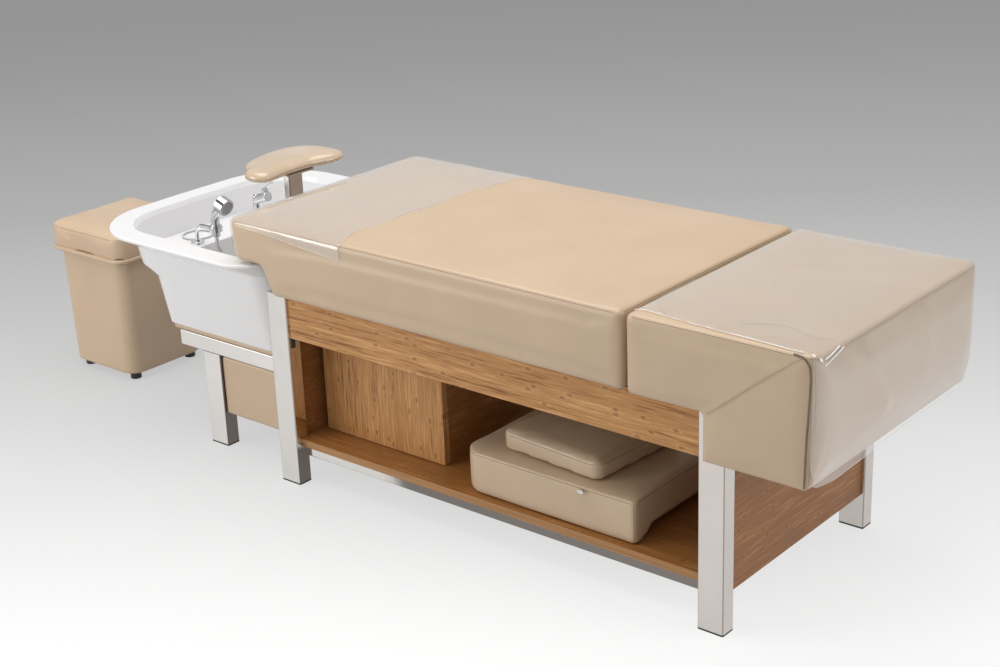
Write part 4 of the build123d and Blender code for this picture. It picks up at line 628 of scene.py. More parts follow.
@dataclass
class Finishes:
    """Every finish of the object, made once."""

    leathercloth: bpy.types.Material = field(init=False)
    pad_cover: bpy.types.Material = field(init=False)
    thread: bpy.types.Material = field(init=False)
    crease: bpy.types.Material = field(init=False)
    film: bpy.types.Material = field(init=False)
    painted_highlight: bpy.types.Material = field(init=False)
    film_fold_shade: bpy.types.Material = field(init=False)
    corner: bpy.types.Material = field(init=False)
    chrome: bpy.types.Material = field(init=False)
    hose: bpy.types.Material = field(init=False)
    grey: bpy.types.Material = field(init=False)
    black: bpy.types.Material = field(init=False)
    zinc: bpy.types.Material = field(init=False)
    by_node: dict[str, bpy.types.Material] = field(init=False)

    def __post_init__(self) -> None:
        """Makes the materials and the table of nodes that wear them."""
        self.leathercloth = Leathercloth().material()
        self.pad_cover = Leathercloth(name="Neck pad leathercloth", colour=(0.66, 0.515, 0.385), rough=0.30,
                                      gloss=0.85).material()
        self.thread = Thread().material()
        # Painted shade: the seam's fold tube is dark brown for the shadow line along the seam.
        self.crease = Thread(name="Folded seam in shade", colour=(0.25, 0.165, 0.10)).material()
        self.film = ClearFilm().material()
        # Painted highlight: a near-white glossy tube laid along film borders and bends for the bright
        # streaks the film reflects.
        self.painted_highlight = MouldedPlastic(name="Painted highlight along the film", colour=(0.93, 0.92, 0.90),
                                    rough=0.12).material()
        # Painted shade: a brown line over the clear film where it folds.
        self.film_fold_shade = MouldedPlastic(name="Folded film in shade", colour=(0.46, 0.38, 0.30),
                                        rough=0.25).material()
        self.corner = MouldedPlastic(name="Shaded corner under the film", colour=(0.17, 0.115, 0.070),
                                     rough=0.30).material()
        self.chrome = PlatedMetal(name="Polished chrome", painted_reflection_bands=0.80).material()
        self.hose = PlatedMetal(name="Chromed hose spiral", rough=0.12, painted_reflection_bands=0.6).material()
        self.zinc = PlatedMetal(name="Zinc plate", colour=(0.62, 0.62, 0.60), rough=0.28).material()
        self.grey = MouldedPlastic(name="Grey moulded plastic", colour=(0.42, 0.43, 0.44)).material()
        self.black = MouldedPlastic(name="Black moulded plastic", colour=(0.018, 0.018, 0.018)).material()
        upright = PolishedSteel(name="Polished tube, upright", shaded=0.098).material()
        stand = PolishedSteel(name="Polished tube of the basin stand", colour=(0.91, 0.885, 0.85),
                              shaded=0.250).material()
        # A darker, rougher copy of the polished steel.
        darker_rougher_steel = PolishedSteel(name="Polished tube, darker and rougher", colour=(0.63, 0.585, 0.555),
                                rough=0.14).material()
        lengthwise = PolishedSteel(name="Polished tube, lengthwise", along=Axis.X,
                                   colour=(0.90, 0.87, 0.835)).material()
        rail = PolishedSteel(name="Polished rail near the floor", along=Axis.X, mirrored=0.85).material()
        paint = PaintedSteel().material()
        resin = CastResin().material()
        ply = Plywood().material()
        lengthwise_bamboo = Bamboo("Bamboo, grain lengthwise, upright face", Axis.X, Axis.Z).material()
        # Painted shade: a much darker copy of the bamboo for the shelf and cabinet top, which sit in shade
        # under the deck.
        shaded_shelf_bamboo = Bamboo("Bamboo, grain lengthwise, level face", Axis.X, Axis.Y,
                              light=(0.46, 0.215, 0.068), middle=(0.325, 0.135, 0.036)).material()
        # Painted shade: a darker copy of the bamboo for the end panels and cabinet panels, which sit in
        # shade under the bed.
        shaded_crosswise_bamboo = Bamboo("Bamboo, grain crosswise, darkened for painted shade", Axis.Y, Axis.Z,
                                  light=(0.47, 0.220, 0.070), middle=(0.300, 0.122, 0.034)).material()
        upright_bamboo = Bamboo("Bamboo, grain upright", Axis.Z, Axis.X,
                                light=(0.720, 0.395, 0.160), middle=(0.520, 0.255, 0.090)).material()
        rubber = MouldedPlastic(name="Grey rubber", colour=(0.50, 0.51, 0.53), rough=0.5).material()
        tables = {
            upright: ("bed_head_legs",),
            stand: ("basin_stand_legs",),
            darker_rougher_steel: ("bed_foot_legs", "neck_rest_post", "neck_rest_sleeve"),
            lengthwise: ("basin_stand_rails", "basin_stand_links"),
            rail: ("lower_rails",),
            paint: ("upper_rails", "neck_rest_arm", "apron_corner_brackets"),
            self.zinc: ("door_pivot_pins", "neck_rest_arm_bolts", "door_catch_plate", "filler_zip_pull"),
            lengthwise_bamboo: ("apron_near", "apron_far"),
            shaded_shelf_bamboo: ("shelf_board", "cabinet_top_panel"),
            shaded_crosswise_bamboo: ("foot_end_panel", "head_end_panel", "cabinet_panels"),
            upright_bamboo: ("cabinet_door",),
            EdgeBand().material(): ("shelf_edge_bands",),
            ply: ("deck_board", "neck_rest_board"),
            resin: ("basin",),
            self.chrome: ("drain_flange", "drain_strainer", "hand_shower", "hose_swivel_nut",
                          "shower_holder", "hose_outlet", "mixer_body", "mixer_cap", "mixer_lever",
                          "mixer_lever_pin", "basin_back_nuts", "mixer_inlet_tails", "mixer_link_pipe"),
            self.black: ("leg_foot_caps", "stool_feet", "neck_rest_clamp_knob", "magnet_catch"),
            self.grey: ("hand_shower_face", "bottle_trap"),
            rubber: ("tap_deck_ring",),
        }
        self.by_node = {node: finish for finish, nodes in tables.items() for node in nodes}

    def dress(self, nodes: dict[str, bpy.types.Object]) -> None:
        """Gives the CAD nodes that stay their finishes.

        Args:
            nodes: The frame's nodes by name.
        """
        for name, finish in self.by_node.items():
            node = nodes[name]
            if not node.material_slots:
                node.data.materials.append(finish)
            for slot in node.material_slots:
                slot.material = finish


# Mesh tools


def put(name: str, mesh: bpy.types.Mesh, finish: bpy.types.Material | None = None) -> bpy.types.Object:
    """Puts a mesh into the scene as an object at the origin.

    Args:
        name: The object's name.
        mesh: Its mesh.
        finish: Its only material, if it has none yet.

    Returns:
        The object.
    """
    made = bpy.data.objects.new(name, mesh)
    bpy.context.scene.collection.objects.link(made)
    if finish is not None:
        mesh.materials.clear()
        mesh.materials.append(finish)
    return made


def mesh_of(name: str, points: Sequence, faces: Sequence, smooth: bool = True, join: float = 0.0
            ) -> bpy.types.Mesh:
    """Makes a mesh from points and faces, with its faces outwards.

    Args:
        name: The mesh's name.
        points: The points.
        faces: The faces, as lists of point numbers.
        smooth: Whether it is shaded smooth.
        join: Points nearer than this become one.

    Returns:
        The mesh.
    """
    mesh = bpy.data.meshes.new(name)
    mesh.from_pydata([tuple(map(float, point)) for point in points], [], [tuple(face) for face in faces])
    work = bmesh.new()
    work.from_mesh(mesh)
    if join:
        bmesh.ops.remove_doubles(work, verts=work.verts, dist=join)
    bmesh.ops.recalc_face_normals(work, faces=work.faces)
    for face in work.faces:
        face.smooth = smooth
    work.to_mesh(mesh)
    work.free()
    return mesh


def baked(thing: bpy.types.Object, name: str) -> bpy.types.Mesh:
    """Returns a plain mesh of an object with its modifiers' result, and removes the object.

    Args:
        thing: The object.
        name: The new mesh's name.

    Returns:
        The mesh.
    """
    graph = bpy.context.evaluated_depsgraph_get()
    mesh = bpy.data.meshes.new_from_object(thing.evaluated_get(graph), depsgraph=graph)
    mesh.name = name
    mesh.transform(thing.matrix_world)
    old = thing.data
    bpy.data.objects.remove(thing, do_unlink=True)
    if old.users == 0 and isinstance(old, bpy.types.Mesh):
        bpy.data.meshes.remove(old)
    return mesh


def corners_of(mesh: bpy.types.Mesh) -> np.ndarray:
    """Returns a mesh's points as an array of rows."""
    found = np.empty(len(mesh.vertices) * 3, np.float32)
    mesh.vertices.foreach_get("co", found)
    return found.reshape(-1, 3).astype(float)


def move_corners(mesh: bpy.types.Mesh, points: np.ndarray) -> None:
    """Puts a mesh's points at new places."""
    mesh.vertices.foreach_set("co", points.astype(np.float32).ravel())
    mesh.update()


def mount(name: str, mesh: bpy.types.Mesh, body: str) -> None:
    """Puts a finished mesh into the scene and the body that it rides on.

    Args:
        name: The piece's name.
        mesh: Its mesh.
        body: The body.
    """
    piece = put(name, mesh)
    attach(piece, body)


def points_mesh(name: str, points: Sequence[Point]) -> bpy.types.Mesh:
    """Makes a mesh of loose points."""
    mesh = bpy.data.meshes.new(name)
    mesh.from_pydata([tuple(point) for point in points], [], [])
    return mesh


def rounded_ring(half_x: float, half_y: float, corner: float, steps: int) -> list[tuple[float, float]]:
    """Returns a closed rectangle with round corners, about the origin.

    Args:
        half_x: Half its size along X.
        half_y: Half its size along Y.
        corner: The corners' radius.
        steps: Points at each corner.

    Returns:
        The points in plan, the first one again at the end.
    """
    ring = []
    for turn, (sx, sy) in enumerate(((1, 1), (-1, 1), (-1, -1), (1, -1))):
        for step in range(steps):
            angle = math.pi / 2 * (turn + step / (steps - 1))
            ring.append((sx * (half_x - corner) + corner * math.cos(angle),
                         sy * (half_y - corner) + corner * math.sin(angle)))
    return ring + ring[:1]


def smoothed(mesh: bpy.types.Mesh) -> bpy.types.Mesh:
    """Shades a mesh smooth and returns it."""
    mesh.polygons.foreach_set("use_smooth", [True] * len(mesh.polygons))
    return mesh


def surface_tree(mesh: bpy.types.Mesh) -> BVHTree:
    """Returns a tree for finding places on a mesh."""
    work = bmesh.new()
    work.from_mesh(mesh)
    tree = BVHTree.FromBMesh(work)
    work.free()
    return tree


def resampled(points: Sequence[Point], pitch: float) -> np.ndarray:
    """Returns points at an even pitch along a broken line.

    Args:
        points: The line's corners.
        pitch: The spacing.

    Returns:
        The points, as rows.
    """
    line = np.asarray(points, float)
    steps = np.linalg.norm(np.diff(line, axis=0), axis=1)
    reach = np.concatenate([[0.0], np.cumsum(steps)])
    count = max(2, int(round(reach[-1] / pitch)) + 1)
    at = np.linspace(0.0, reach[-1], count)
    return np.stack([np.interp(at, reach, line[:, axis]) for axis in range(3)], axis=1)


# Geometry node trees


class Repeater:
    """A Geometry Nodes tree with named inputs, run on a plain mesh and baked."""

    def __init__(self, name: str) -> None:
        """Starts a tree with a geometry input and output."""
        self.tree = bpy.data.node_groups.new(name, "GeometryNodeTree")
        self.tree.interface.new_socket("Geometry", in_out="INPUT", socket_type="NodeSocketGeometry")
        self.tree.interface.new_socket("Geometry", in_out="OUTPUT", socket_type="NodeSocketGeometry")
        self.names: dict[str, str] = {}
        self.entry: bpy.types.Node | None = None

    def ask(self, name: str, kind: str, value: object = None) -> None:
        """Adds a named input.

        Args:
            name: The input's name.
            kind: Its socket type.
            value: Its usual value.
        """
        socket = self.tree.interface.new_socket(name, in_out="INPUT", socket_type=kind)
        if value is not None:
            socket.default_value = value
        self.names[name] = socket.identifier

    def node(self, kind: str, **settings: object) -> bpy.types.Node:
        """Adds a node and returns it."""
        made = self.tree.nodes.new(kind)
        for key, value in settings.items():
            setattr(made, key, value)
        return made

    def link(self, source: bpy.types.NodeSocket, target: bpy.types.NodeSocket) -> None:
        """Joins two sockets."""
        self.tree.links.new(source, target)

    def read(self, name: str) -> bpy.types.NodeSocket:
        """Returns a named input's socket inside the tree."""
        if self.entry is None:
            self.entry = self.node("NodeGroupInput")
        return self.entry.outputs[name]

    def close(self, shape: bpy.types.NodeSocket) -> None:
        """Ends the tree in Realize Instances and Set Material.

        Args:
            shape: The geometry to end with.
        """
        real = self.node("GeometryNodeRealizeInstances")
        paint = self.node("GeometryNodeSetMaterial")
        smooth = self.node("GeometryNodeSetShadeSmooth")
        out = self.node("NodeGroupOutput")
        self.link(shape, real.inputs["Geometry"])
        self.link(real.outputs["Geometry"], smooth.inputs["Geometry"])
        self.link(smooth.outputs["Geometry"], paint.inputs["Geometry"])
        self.link(self.read("Finish"), paint.inputs["Material"])
        self.link(paint.outputs["Geometry"], out.inputs["Geometry"])

    def run(self, name: str, base: bpy.types.Mesh, **values: object) -> bpy.types.Mesh:
        """Runs the tree on a mesh and bakes the result.

        Args:
            name: The result's name.
            base: The mesh that the tree starts from.
            **values: Input values, by name with underscores for spaces.

        Returns:
            The baked mesh.
        """
        carrier = put(f"{name}_base", base)
        modifier = carrier.modifiers.new("Repeat", "NODES")
        modifier.node_group = self.tree
        for key, value in values.items():
            modifier[self.names[key.replace("_", " ")]] = value
        mesh = baked(carrier, name)
        work = bmesh.new()
        work.from_mesh(mesh)
        bmesh.ops.recalc_face_normals(work, faces=work.faces)
        work.to_mesh(mesh)
        work.free()
        return mesh


def stitch_repeater() -> Repeater:
    """Returns the tree that lays stitches end to end along a line."""
    tree = Repeater("Stitch row")
    tree.ask("Pitch", "NodeSocketFloat", 0.0045)
    tree.ask("Stitch Length", "NodeSocketFloat", 0.0034)
    tree.ask("Thread Radius", "NodeSocketFloat", 0.0004)
    tree.ask("Finish", "NodeSocketMaterial")
    curve = tree.node("GeometryNodeMeshToCurve")
    tree.link(tree.read("Geometry"), curve.inputs["Mesh"])
    even = tree.node("GeometryNodeResampleCurve", mode="LENGTH")
    tree.link(curve.outputs["Curve"], even.inputs["Curve"])
    tree.link(tree.read("Pitch"), even.inputs["Length"])
    tangent = tree.node("GeometryNodeInputTangent")
    turn = tree.node("FunctionNodeAlignRotationToVector", axis="Z")
    tree.link(tangent.outputs["Tangent"], turn.inputs["Vector"])
    half = tree.node("ShaderNodeMath", operation="MULTIPLY")
    half.inputs[1].default_value = 0.5
    tree.link(tree.read("Stitch Length"), half.inputs[0])
    size = tree.node("ShaderNodeCombineXYZ")
    tree.link(tree.read("Thread Radius"), size.inputs["X"])
    tree.link(tree.read("Thread Radius"), size.inputs["Y"])
    tree.link(half.outputs[0], size.inputs["Z"])
    bead = tree.node("GeometryNodeMeshUVSphere")
    bead.inputs["Segments"].default_value = 6
    bead.inputs["Rings"].default_value = 4
    bead.inputs["Radius"].default_value = 1.0
    spread = tree.node("GeometryNodeInstanceOnPoints")
    tree.link(even.outputs["Curve"], spread.inputs["Points"])
    tree.link(bead.outputs["Mesh"], spread.inputs["Instance"])
    tree.link(turn.outputs["Rotation"], spread.inputs["Rotation"])
    tree.link(size.outputs["Vector"], spread.inputs["Scale"])
    tree.close(spread.outputs["Instances"])
    return tree


def welt_repeater() -> Repeater:
    """Returns the tree that sweeps a thin round fold along a line."""
    tree = Repeater("Welt")
    tree.ask("Fold Radius", "NodeSocketFloat", 0.001)
    tree.ask("Finish", "NodeSocketMaterial")
    curve = tree.node("GeometryNodeMeshToCurve")
    tree.link(tree.read("Geometry"), curve.inputs["Mesh"])
    ring = tree.node("GeometryNodeCurvePrimitiveCircle")
    ring.inputs["Resolution"].default_value = 8
    tree.link(tree.read("Fold Radius"), ring.inputs["Radius"])
    swept = tree.node("GeometryNodeCurveToMesh")
    swept.inputs["Fill Caps"].default_value = True
    tree.link(curve.outputs["Curve"], swept.inputs["Curve"])
    tree.link(ring.outputs["Curve"], swept.inputs["Profile Curve"])
    tree.close(swept.outputs["Mesh"])
    return tree


def stud_repeater() -> Repeater:
    """Returns the tree that stands a small tapered stud on each point, along a given direction."""
    tree = Repeater("Studs")
    tree.ask("Stud Radius", "NodeSocketFloat", 0.001)
    tree.ask("Stud Height", "NodeSocketFloat", 0.001)
    tree.ask("Direction", "NodeSocketVector", (0.0, 0.0, 1.0))
    tree.ask("Finish", "NodeSocketMaterial")
    points = tree.node("GeometryNodeMeshToPoints")
    tree.link(tree.read("Geometry"), points.inputs["Mesh"])
    cone = tree.node("GeometryNodeMeshCone")
    cone.inputs["Vertices"].default_value = 12
    tree.link(tree.read("Stud Radius"), cone.inputs["Radius Bottom"])
    top = tree.node("ShaderNodeMath", operation="MULTIPLY")
    top.inputs[1].default_value = 0.72
    tree.link(tree.read("Stud Radius"), top.inputs[0])
    tree.link(top.outputs[0], cone.inputs["Radius Top"])
    tree.link(tree.read("Stud Height"), cone.inputs["Depth"])
    turn = tree.node("FunctionNodeAlignRotationToVector", axis="Z")
    tree.link(tree.read("Direction"), turn.inputs["Vector"])
    spread = tree.node("GeometryNodeInstanceOnPoints")
    tree.link(points.outputs["Points"], spread.inputs["Points"])
    tree.link(cone.outputs["Mesh"], spread.inputs["Instance"])
    tree.link(turn.outputs["Rotation"], spread.inputs["Rotation"])
    tree.close(spread.outputs["Instances"])
    return tree


def line_mesh(name: str, lines: Sequence[np.ndarray]) -> bpy.types.Mesh:
    """Makes a mesh of loose edges along several lines.

    Args:
        name: The mesh's name.
        lines: The lines, as rows of points.

    Returns:
        The mesh.
    """
    points: list[Point] = []
    edges: list[tuple[int, int]] = []
    for line in lines:
        start = len(points)
        points += [tuple(map(float, point)) for point in line]
        edges += [(start + step, start + step + 1) for step in range(len(line) - 1)]
    mesh = bpy.data.meshes.new(name)
    mesh.from_pydata(points, edges, [])
    return mesh


def on_surface(tree: BVHTree, line: np.ndarray, lift: float, reach: float = 0.03) -> np.ndarray:
    """Lays a line on a surface.

    Args:
        tree: The surface.
        line: Points near it.
        lift: How far the points stand over it.
        reach: Points further off than this stay.

    Returns:
        The points on the surface.
    """
    laid = []
    for point in line:
        place, normal, _, far = tree.find_nearest(Vector(point))
        laid.append(point if place is None or far > reach else np.array(place + normal * lift))
    found = np.array(laid)
    for _ in range(2):
        found[1:-1] = 0.25 * found[:-2] + 0.5 * found[1:-1] + 0.25 * found[2:]
    return found


def draw_fold(name: str, lines: Sequence[np.ndarray], radius: float, finish: bpy.types.Material,
              body: str, tree: BVHTree | None = None, lift: float = 0.0) -> None:
    """Draws thin round folds along lines, as one piece.

    Args:
        name: The piece's name.
        lines: The lines.
        radius: The folds' radius.
        finish: Their finish.
        body: The body that they ride on.
        tree: A surface that the lines are laid on.
        lift: How far over it.
    """
    laid = [resampled(line, 0.004) for line in lines]
    if tree is not None:
        laid = [on_surface(tree, line, lift) for line in laid]
    mesh = WELT.run(name, line_mesh(f"{name}_line", laid), Fold_Radius=radius, Finish=finish)
    mount(name, mesh, body)


@dataclass
class Seam:
    """A sewn seam on a cushion: a thin fold with a row of stitches on one or both sides."""

    lines: list[np.ndarray]
    rows: tuple[float, ...] = (-0.0034, 0.0034)
    fold: float = 0.0006
    pitch: float = 0.0048

    def build(self, name: str, cover: bpy.types.Mesh, finishes: Finishes, body: str) -> None:
        """Builds the fold and the stitches as one piece each.

        Args:
            name: The seam's name.
            cover: The cushion's mesh, in its place.
            finishes: The object's finishes.
            body: The body that the seam rides on.
        """
        tree = surface_tree(cover)
        laid = [on_surface(tree, resampled(line, 0.004), -0.00025) for line in self.lines]
        if self.fold:
            draw_fold(f"{name}_fold", laid, self.fold, finishes.crease, body)
        if not self.rows:
            return
        sewn = []
        for line in laid:
            way = np.gradient(line, axis=0)
            normals = np.array([tree.find_nearest(Vector(point))[1] for point in line])
            side = np.cross(way, normals)
            side /= np.maximum(np.linalg.norm(side, axis=1, keepdims=True), 1e-9)
            sewn += [on_surface(tree, line + side * offset, 0.00005) for offset in self.rows]
        mesh = STITCH.run(f"{name}_stitches", line_mesh(f"{name}_rows", sewn), Pitch=self.pitch,
                          Stitch_Length=self.pitch * 0.74, Thread_Radius=0.00036, Finish=finishes.thread)
        mount(f"{name}_stitches", mesh, body)


# Stage


@dataclass
class Stage:
    """The camera, the pale floor, the lamps and the world."""

    place: Point = (2.647217, -2.836180, 1.792756)
    azimuth: float = 0.7027367
    elevation: float = 0.3652497
    roll: float = -0.0388779
    lens: float = 62.80661
    floor_tones: tuple[tuple[float, float], ...] = (
        (2.93, 0.985), (3.16, 0.940), (3.62, 0.818), (4.20, 0.690), (4.97, 0.562), (6.03, 0.449),
        (7.22, 0.396), (8.43, 0.352), (9.90, 0.328),
    )

    def build(self) -> None:
        """Makes the whole stage."""
        self.camera()
        self.floor()
        self.lamps()
        self.world()

    def camera(self) -> None:
        """Makes the camera at the photograph's viewing angle."""
        a, e, r = self.azimuth, self.elevation, self.roll
        back = Vector((math.sin(a) * math.cos(e), -math.cos(a) * math.cos(e), math.sin(e)))
        right = Vector((0.0, 0.0, 1.0)).cross(back).normalized()
        up = back.cross(right)
        side = right * math.cos(r) + up * math.sin(r)
        head = up * math.cos(r) - right * math.sin(r)
        lens = bpy.data.cameras.new("Camera")
        lens.sensor_fit = "HORIZONTAL"
        lens.sensor_width = 36.0
        lens.lens = self.lens
        lens.clip_end = 200.0
        camera = bpy.data.objects.new("Camera", lens)
        turned = Matrix((side, head, back)).transposed().to_4x4()
        camera.matrix_world = Matrix.Translation(self.place) @ turned
        bpy.context.scene.collection.objects.link(camera)
        bpy.context.scene.camera = camera

    def floor(self) -> None:
        """Makes the floor, white near the viewer and grey far away, with a soft shadow."""
        size = 30.0
        mesh = mesh_of("Floor", [(-size, -size, 0), (size, -size, 0), (size, size, 0), (-size, size, 0)],
                       [(0, 1, 2, 3)], smooth=False)
        s = Shader("Pale studio floor")
        coordinates = s.add("ShaderNodeTexCoord").outputs["Object"]
        reach = s.add("ShaderNodeVectorMath", operation="DOT_PRODUCT")
        s.feed(reach.inputs[0], coordinates)
        ahead = (-math.sin(self.azimuth), math.cos(self.azimuth), 0.0)
        reach.inputs[1].default_value = ahead
        start = self.place[0] * ahead[0] + self.place[1] * ahead[1]
        near, far = self.floor_tones[0][0], self.floor_tones[-1][0]
        share = s.add("ShaderNodeMapRange")
        s.feed(share.inputs["Value"], reach.outputs["Value"])
        share.inputs["From Min"].default_value = start + near
        share.inputs["From Max"].default_value = start + far
        tone = s.ramp(share.outputs["Result"], [((place - near) / (far - near), (v, v, v))
                                                for place, v in self.floor_tones])
        diffuse = s.add("ShaderNodeBsdfDiffuse")
        s.feed(diffuse.inputs["Color"], tone)
        bounce = s.add("ShaderNodeBsdfDiffuse")
        bounce.inputs["Color"].default_value = (0.50, 0.50, 0.50, 1.0)
        glow = s.add("ShaderNodeEmission")
        s.feed(glow.inputs["Color"], tone)
        seen = s.add("ShaderNodeMixShader")
        seen.inputs[0].default_value = 0.80
        s.feed(seen.inputs[1], diffuse.outputs[0])
        s.feed(seen.inputs[2], glow.outputs[0])
        path = s.add("ShaderNodeLightPath")
        shown = s.math("ADD", path.outputs["Is Camera Ray"], path.outputs["Is Glossy Ray"])
        shown = s.math("ADD", shown, path.outputs["Is Transmission Ray"], True)
        pick = s.add("ShaderNodeMixShader")
        s.feed(pick.inputs[0], shown)
        s.feed(pick.inputs[1], bounce.outputs[0])
        s.feed(pick.inputs[2], seen.outputs[0])
        s.feed(s.output.inputs["Surface"], pick.outputs[0])
        put("Floor", mesh, s.material)

    def lamps(self) -> None:
        """Makes a wide soft lamp overhead, one at the near left and a smaller one at the foot end."""
        for name, place, aim, width, power in (
            ("Overhead softbox", (-0.2, -0.2, 3.5), (0.1, 0.0, 0.4), 3.4, 92.0),
            ("Left softbox", (-2.3, -3.1, 1.3), (-0.3, 0.0, 0.4), 2.2, 52.0),
            ("Foot softbox", (4.2, 0.9, 1.5), (1.0, 0.0, 0.4), 1.8, 34.0),
        ):
            lamp = bpy.data.lights.new(name, "AREA")
            lamp.shape = "SQUARE"
            lamp.size = width
            lamp.energy = power
            lamp.color = (1.0, 0.985, 0.96)
            holder = bpy.data.objects.new(name, lamp)
            holder.location = place
            direction = Vector(aim) - Vector(place)
            holder.rotation_euler = direction.to_track_quat("-Z", "Y").to_euler()
            bpy.context.scene.collection.objects.link(holder)

    def world(self) -> None:
        """Makes a plain white surround, shown as pale grey."""
        world = bpy.data.worlds.new("Studio")
        bpy.context.scene.world = world
        world.use_nodes = True
        tree = world.node_tree
        light = tree.nodes["Background"]
        light.inputs["Color"].default_value = (1.0, 1.0, 1.0, 1.0)
        light.inputs["Strength"].default_value = 0.50
        seen = tree.nodes.new("ShaderNodeBackground")
        seen.inputs["Color"].default_value = (0.50, 0.50, 0.50, 1.0)
        path = tree.nodes.new("ShaderNodeLightPath")
        pick = tree.nodes.new("ShaderNodeMixShader")
        shown = path.outputs["Is Camera Ray"]
        for ray in ("Is Glossy Ray", "Is Transmission Ray"):
            either = tree.nodes.new("ShaderNodeMath")
            either.operation = "ADD"
            either.use_clamp = True
            tree.links.new(shown, either.inputs[0])
            tree.links.new(path.outputs[ray], either.inputs[1])
            shown = either.outputs[0]
        tree.links.new(shown, pick.inputs[0])
        tree.links.new(light.outputs[0], pick.inputs[1])
        tree.links.new(seen.outputs[0], pick.inputs[2])
        tree.links.new(pick.outputs[0], tree.nodes["World Output"].inputs["Surface"])
        settings = bpy.context.scene.view_settings
        settings.view_transform = "Standard"


# Hose


@dataclass
class ShowerHose:
    """The spiral-wound hose from the outlet in the bowl's wall to the hand shower."""

    diameter: float = 0.011
    length: float = 0.745
    pitch: float = 0.0036
    sides: int = 14
    route: tuple[Point, ...] = (
        (-385, -60, 400), (-345, -60, 400), (-304, -55, 362), (-258, -66, 328), (-196, -86, 315),
        (-136, -116, 315), (-112, -168, 315), (-150, -210, 315), (-216, -214, 315), (-276, -196, 322),
        (-322, -164, 345), (-341, -133, 384), (-350, -117, 420), (-363, -112, 446), (-376, -112, 468),
        (-376, -112, 490),
    )

    def centre_line(self) -> np.ndarray:
        """Returns points along the hose's middle, read from its smooth line."""
        curve = bpy.data.curves.new("hose_line", "CURVE")
        curve.dimensions = "3D"
        spline = curve.splines.new("NURBS")
        spline.points.add(len(self.route) - 1)
        for point, (along, across, up) in zip(spline.points, self.route):
            point.co = (BED_HEAD + along / 1000, across / 1000, up / 1000, 1.0)
        spline.order_u = 3
        spline.use_endpoint_u = True
        spline.resolution_u = 24
        holder = bpy.data.objects.new("hose_line", curve)
        bpy.context.scene.collection.objects.link(holder)
        mesh = baked(holder, "hose_points")
        return corners_of(mesh)

    def build(self, finishes: Finishes) -> None:
        """Builds the hose as one closed tube with a winding ridge.

        Args:
            finishes: The object's finishes.
        """
        path = self.centre_line()
        middle = resampled(path, self.pitch / 4)
        way = np.gradient(middle, axis=0)
        way /= np.linalg.norm(way, axis=1, keepdims=True)
        side = np.cross(way[0], (0.0, 0.0, 1.0))
        side /= np.linalg.norm(side)
        points, faces = [], []
        for place, (centre, forward) in enumerate(zip(middle, way)):
            side = side - forward * side.dot(forward)
            side /= np.linalg.norm(side)
            up = np.cross(forward, side)
            for step in range(self.sides):
                angle = 2 * math.pi * step / self.sides
                wind = 0.5 + 0.5 * math.cos(2 * math.pi * place / 4 - angle)
                radius = self.diameter / 2 * (0.93 + 0.07 * wind)
                points.append(centre + radius * (side * math.cos(angle) + up * math.sin(angle)))
        count = self.sides
        for ring in range(len(middle) - 1):
            for step in range(count):
                after = (step + 1) % count
                faces.append((ring * count + step, ring * count + after, (ring + 1) * count + after,
                              (ring + 1) * count + step))
        faces.append(tuple(range(count)))
        faces.append(tuple(len(points) - count + step for step in range(count)))
        hose = put("shower_hose_spiral", mesh_of("shower_hose_spiral", points, faces), finishes.hose)
        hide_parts("shower_hose")
        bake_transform(hose)


# Cushions


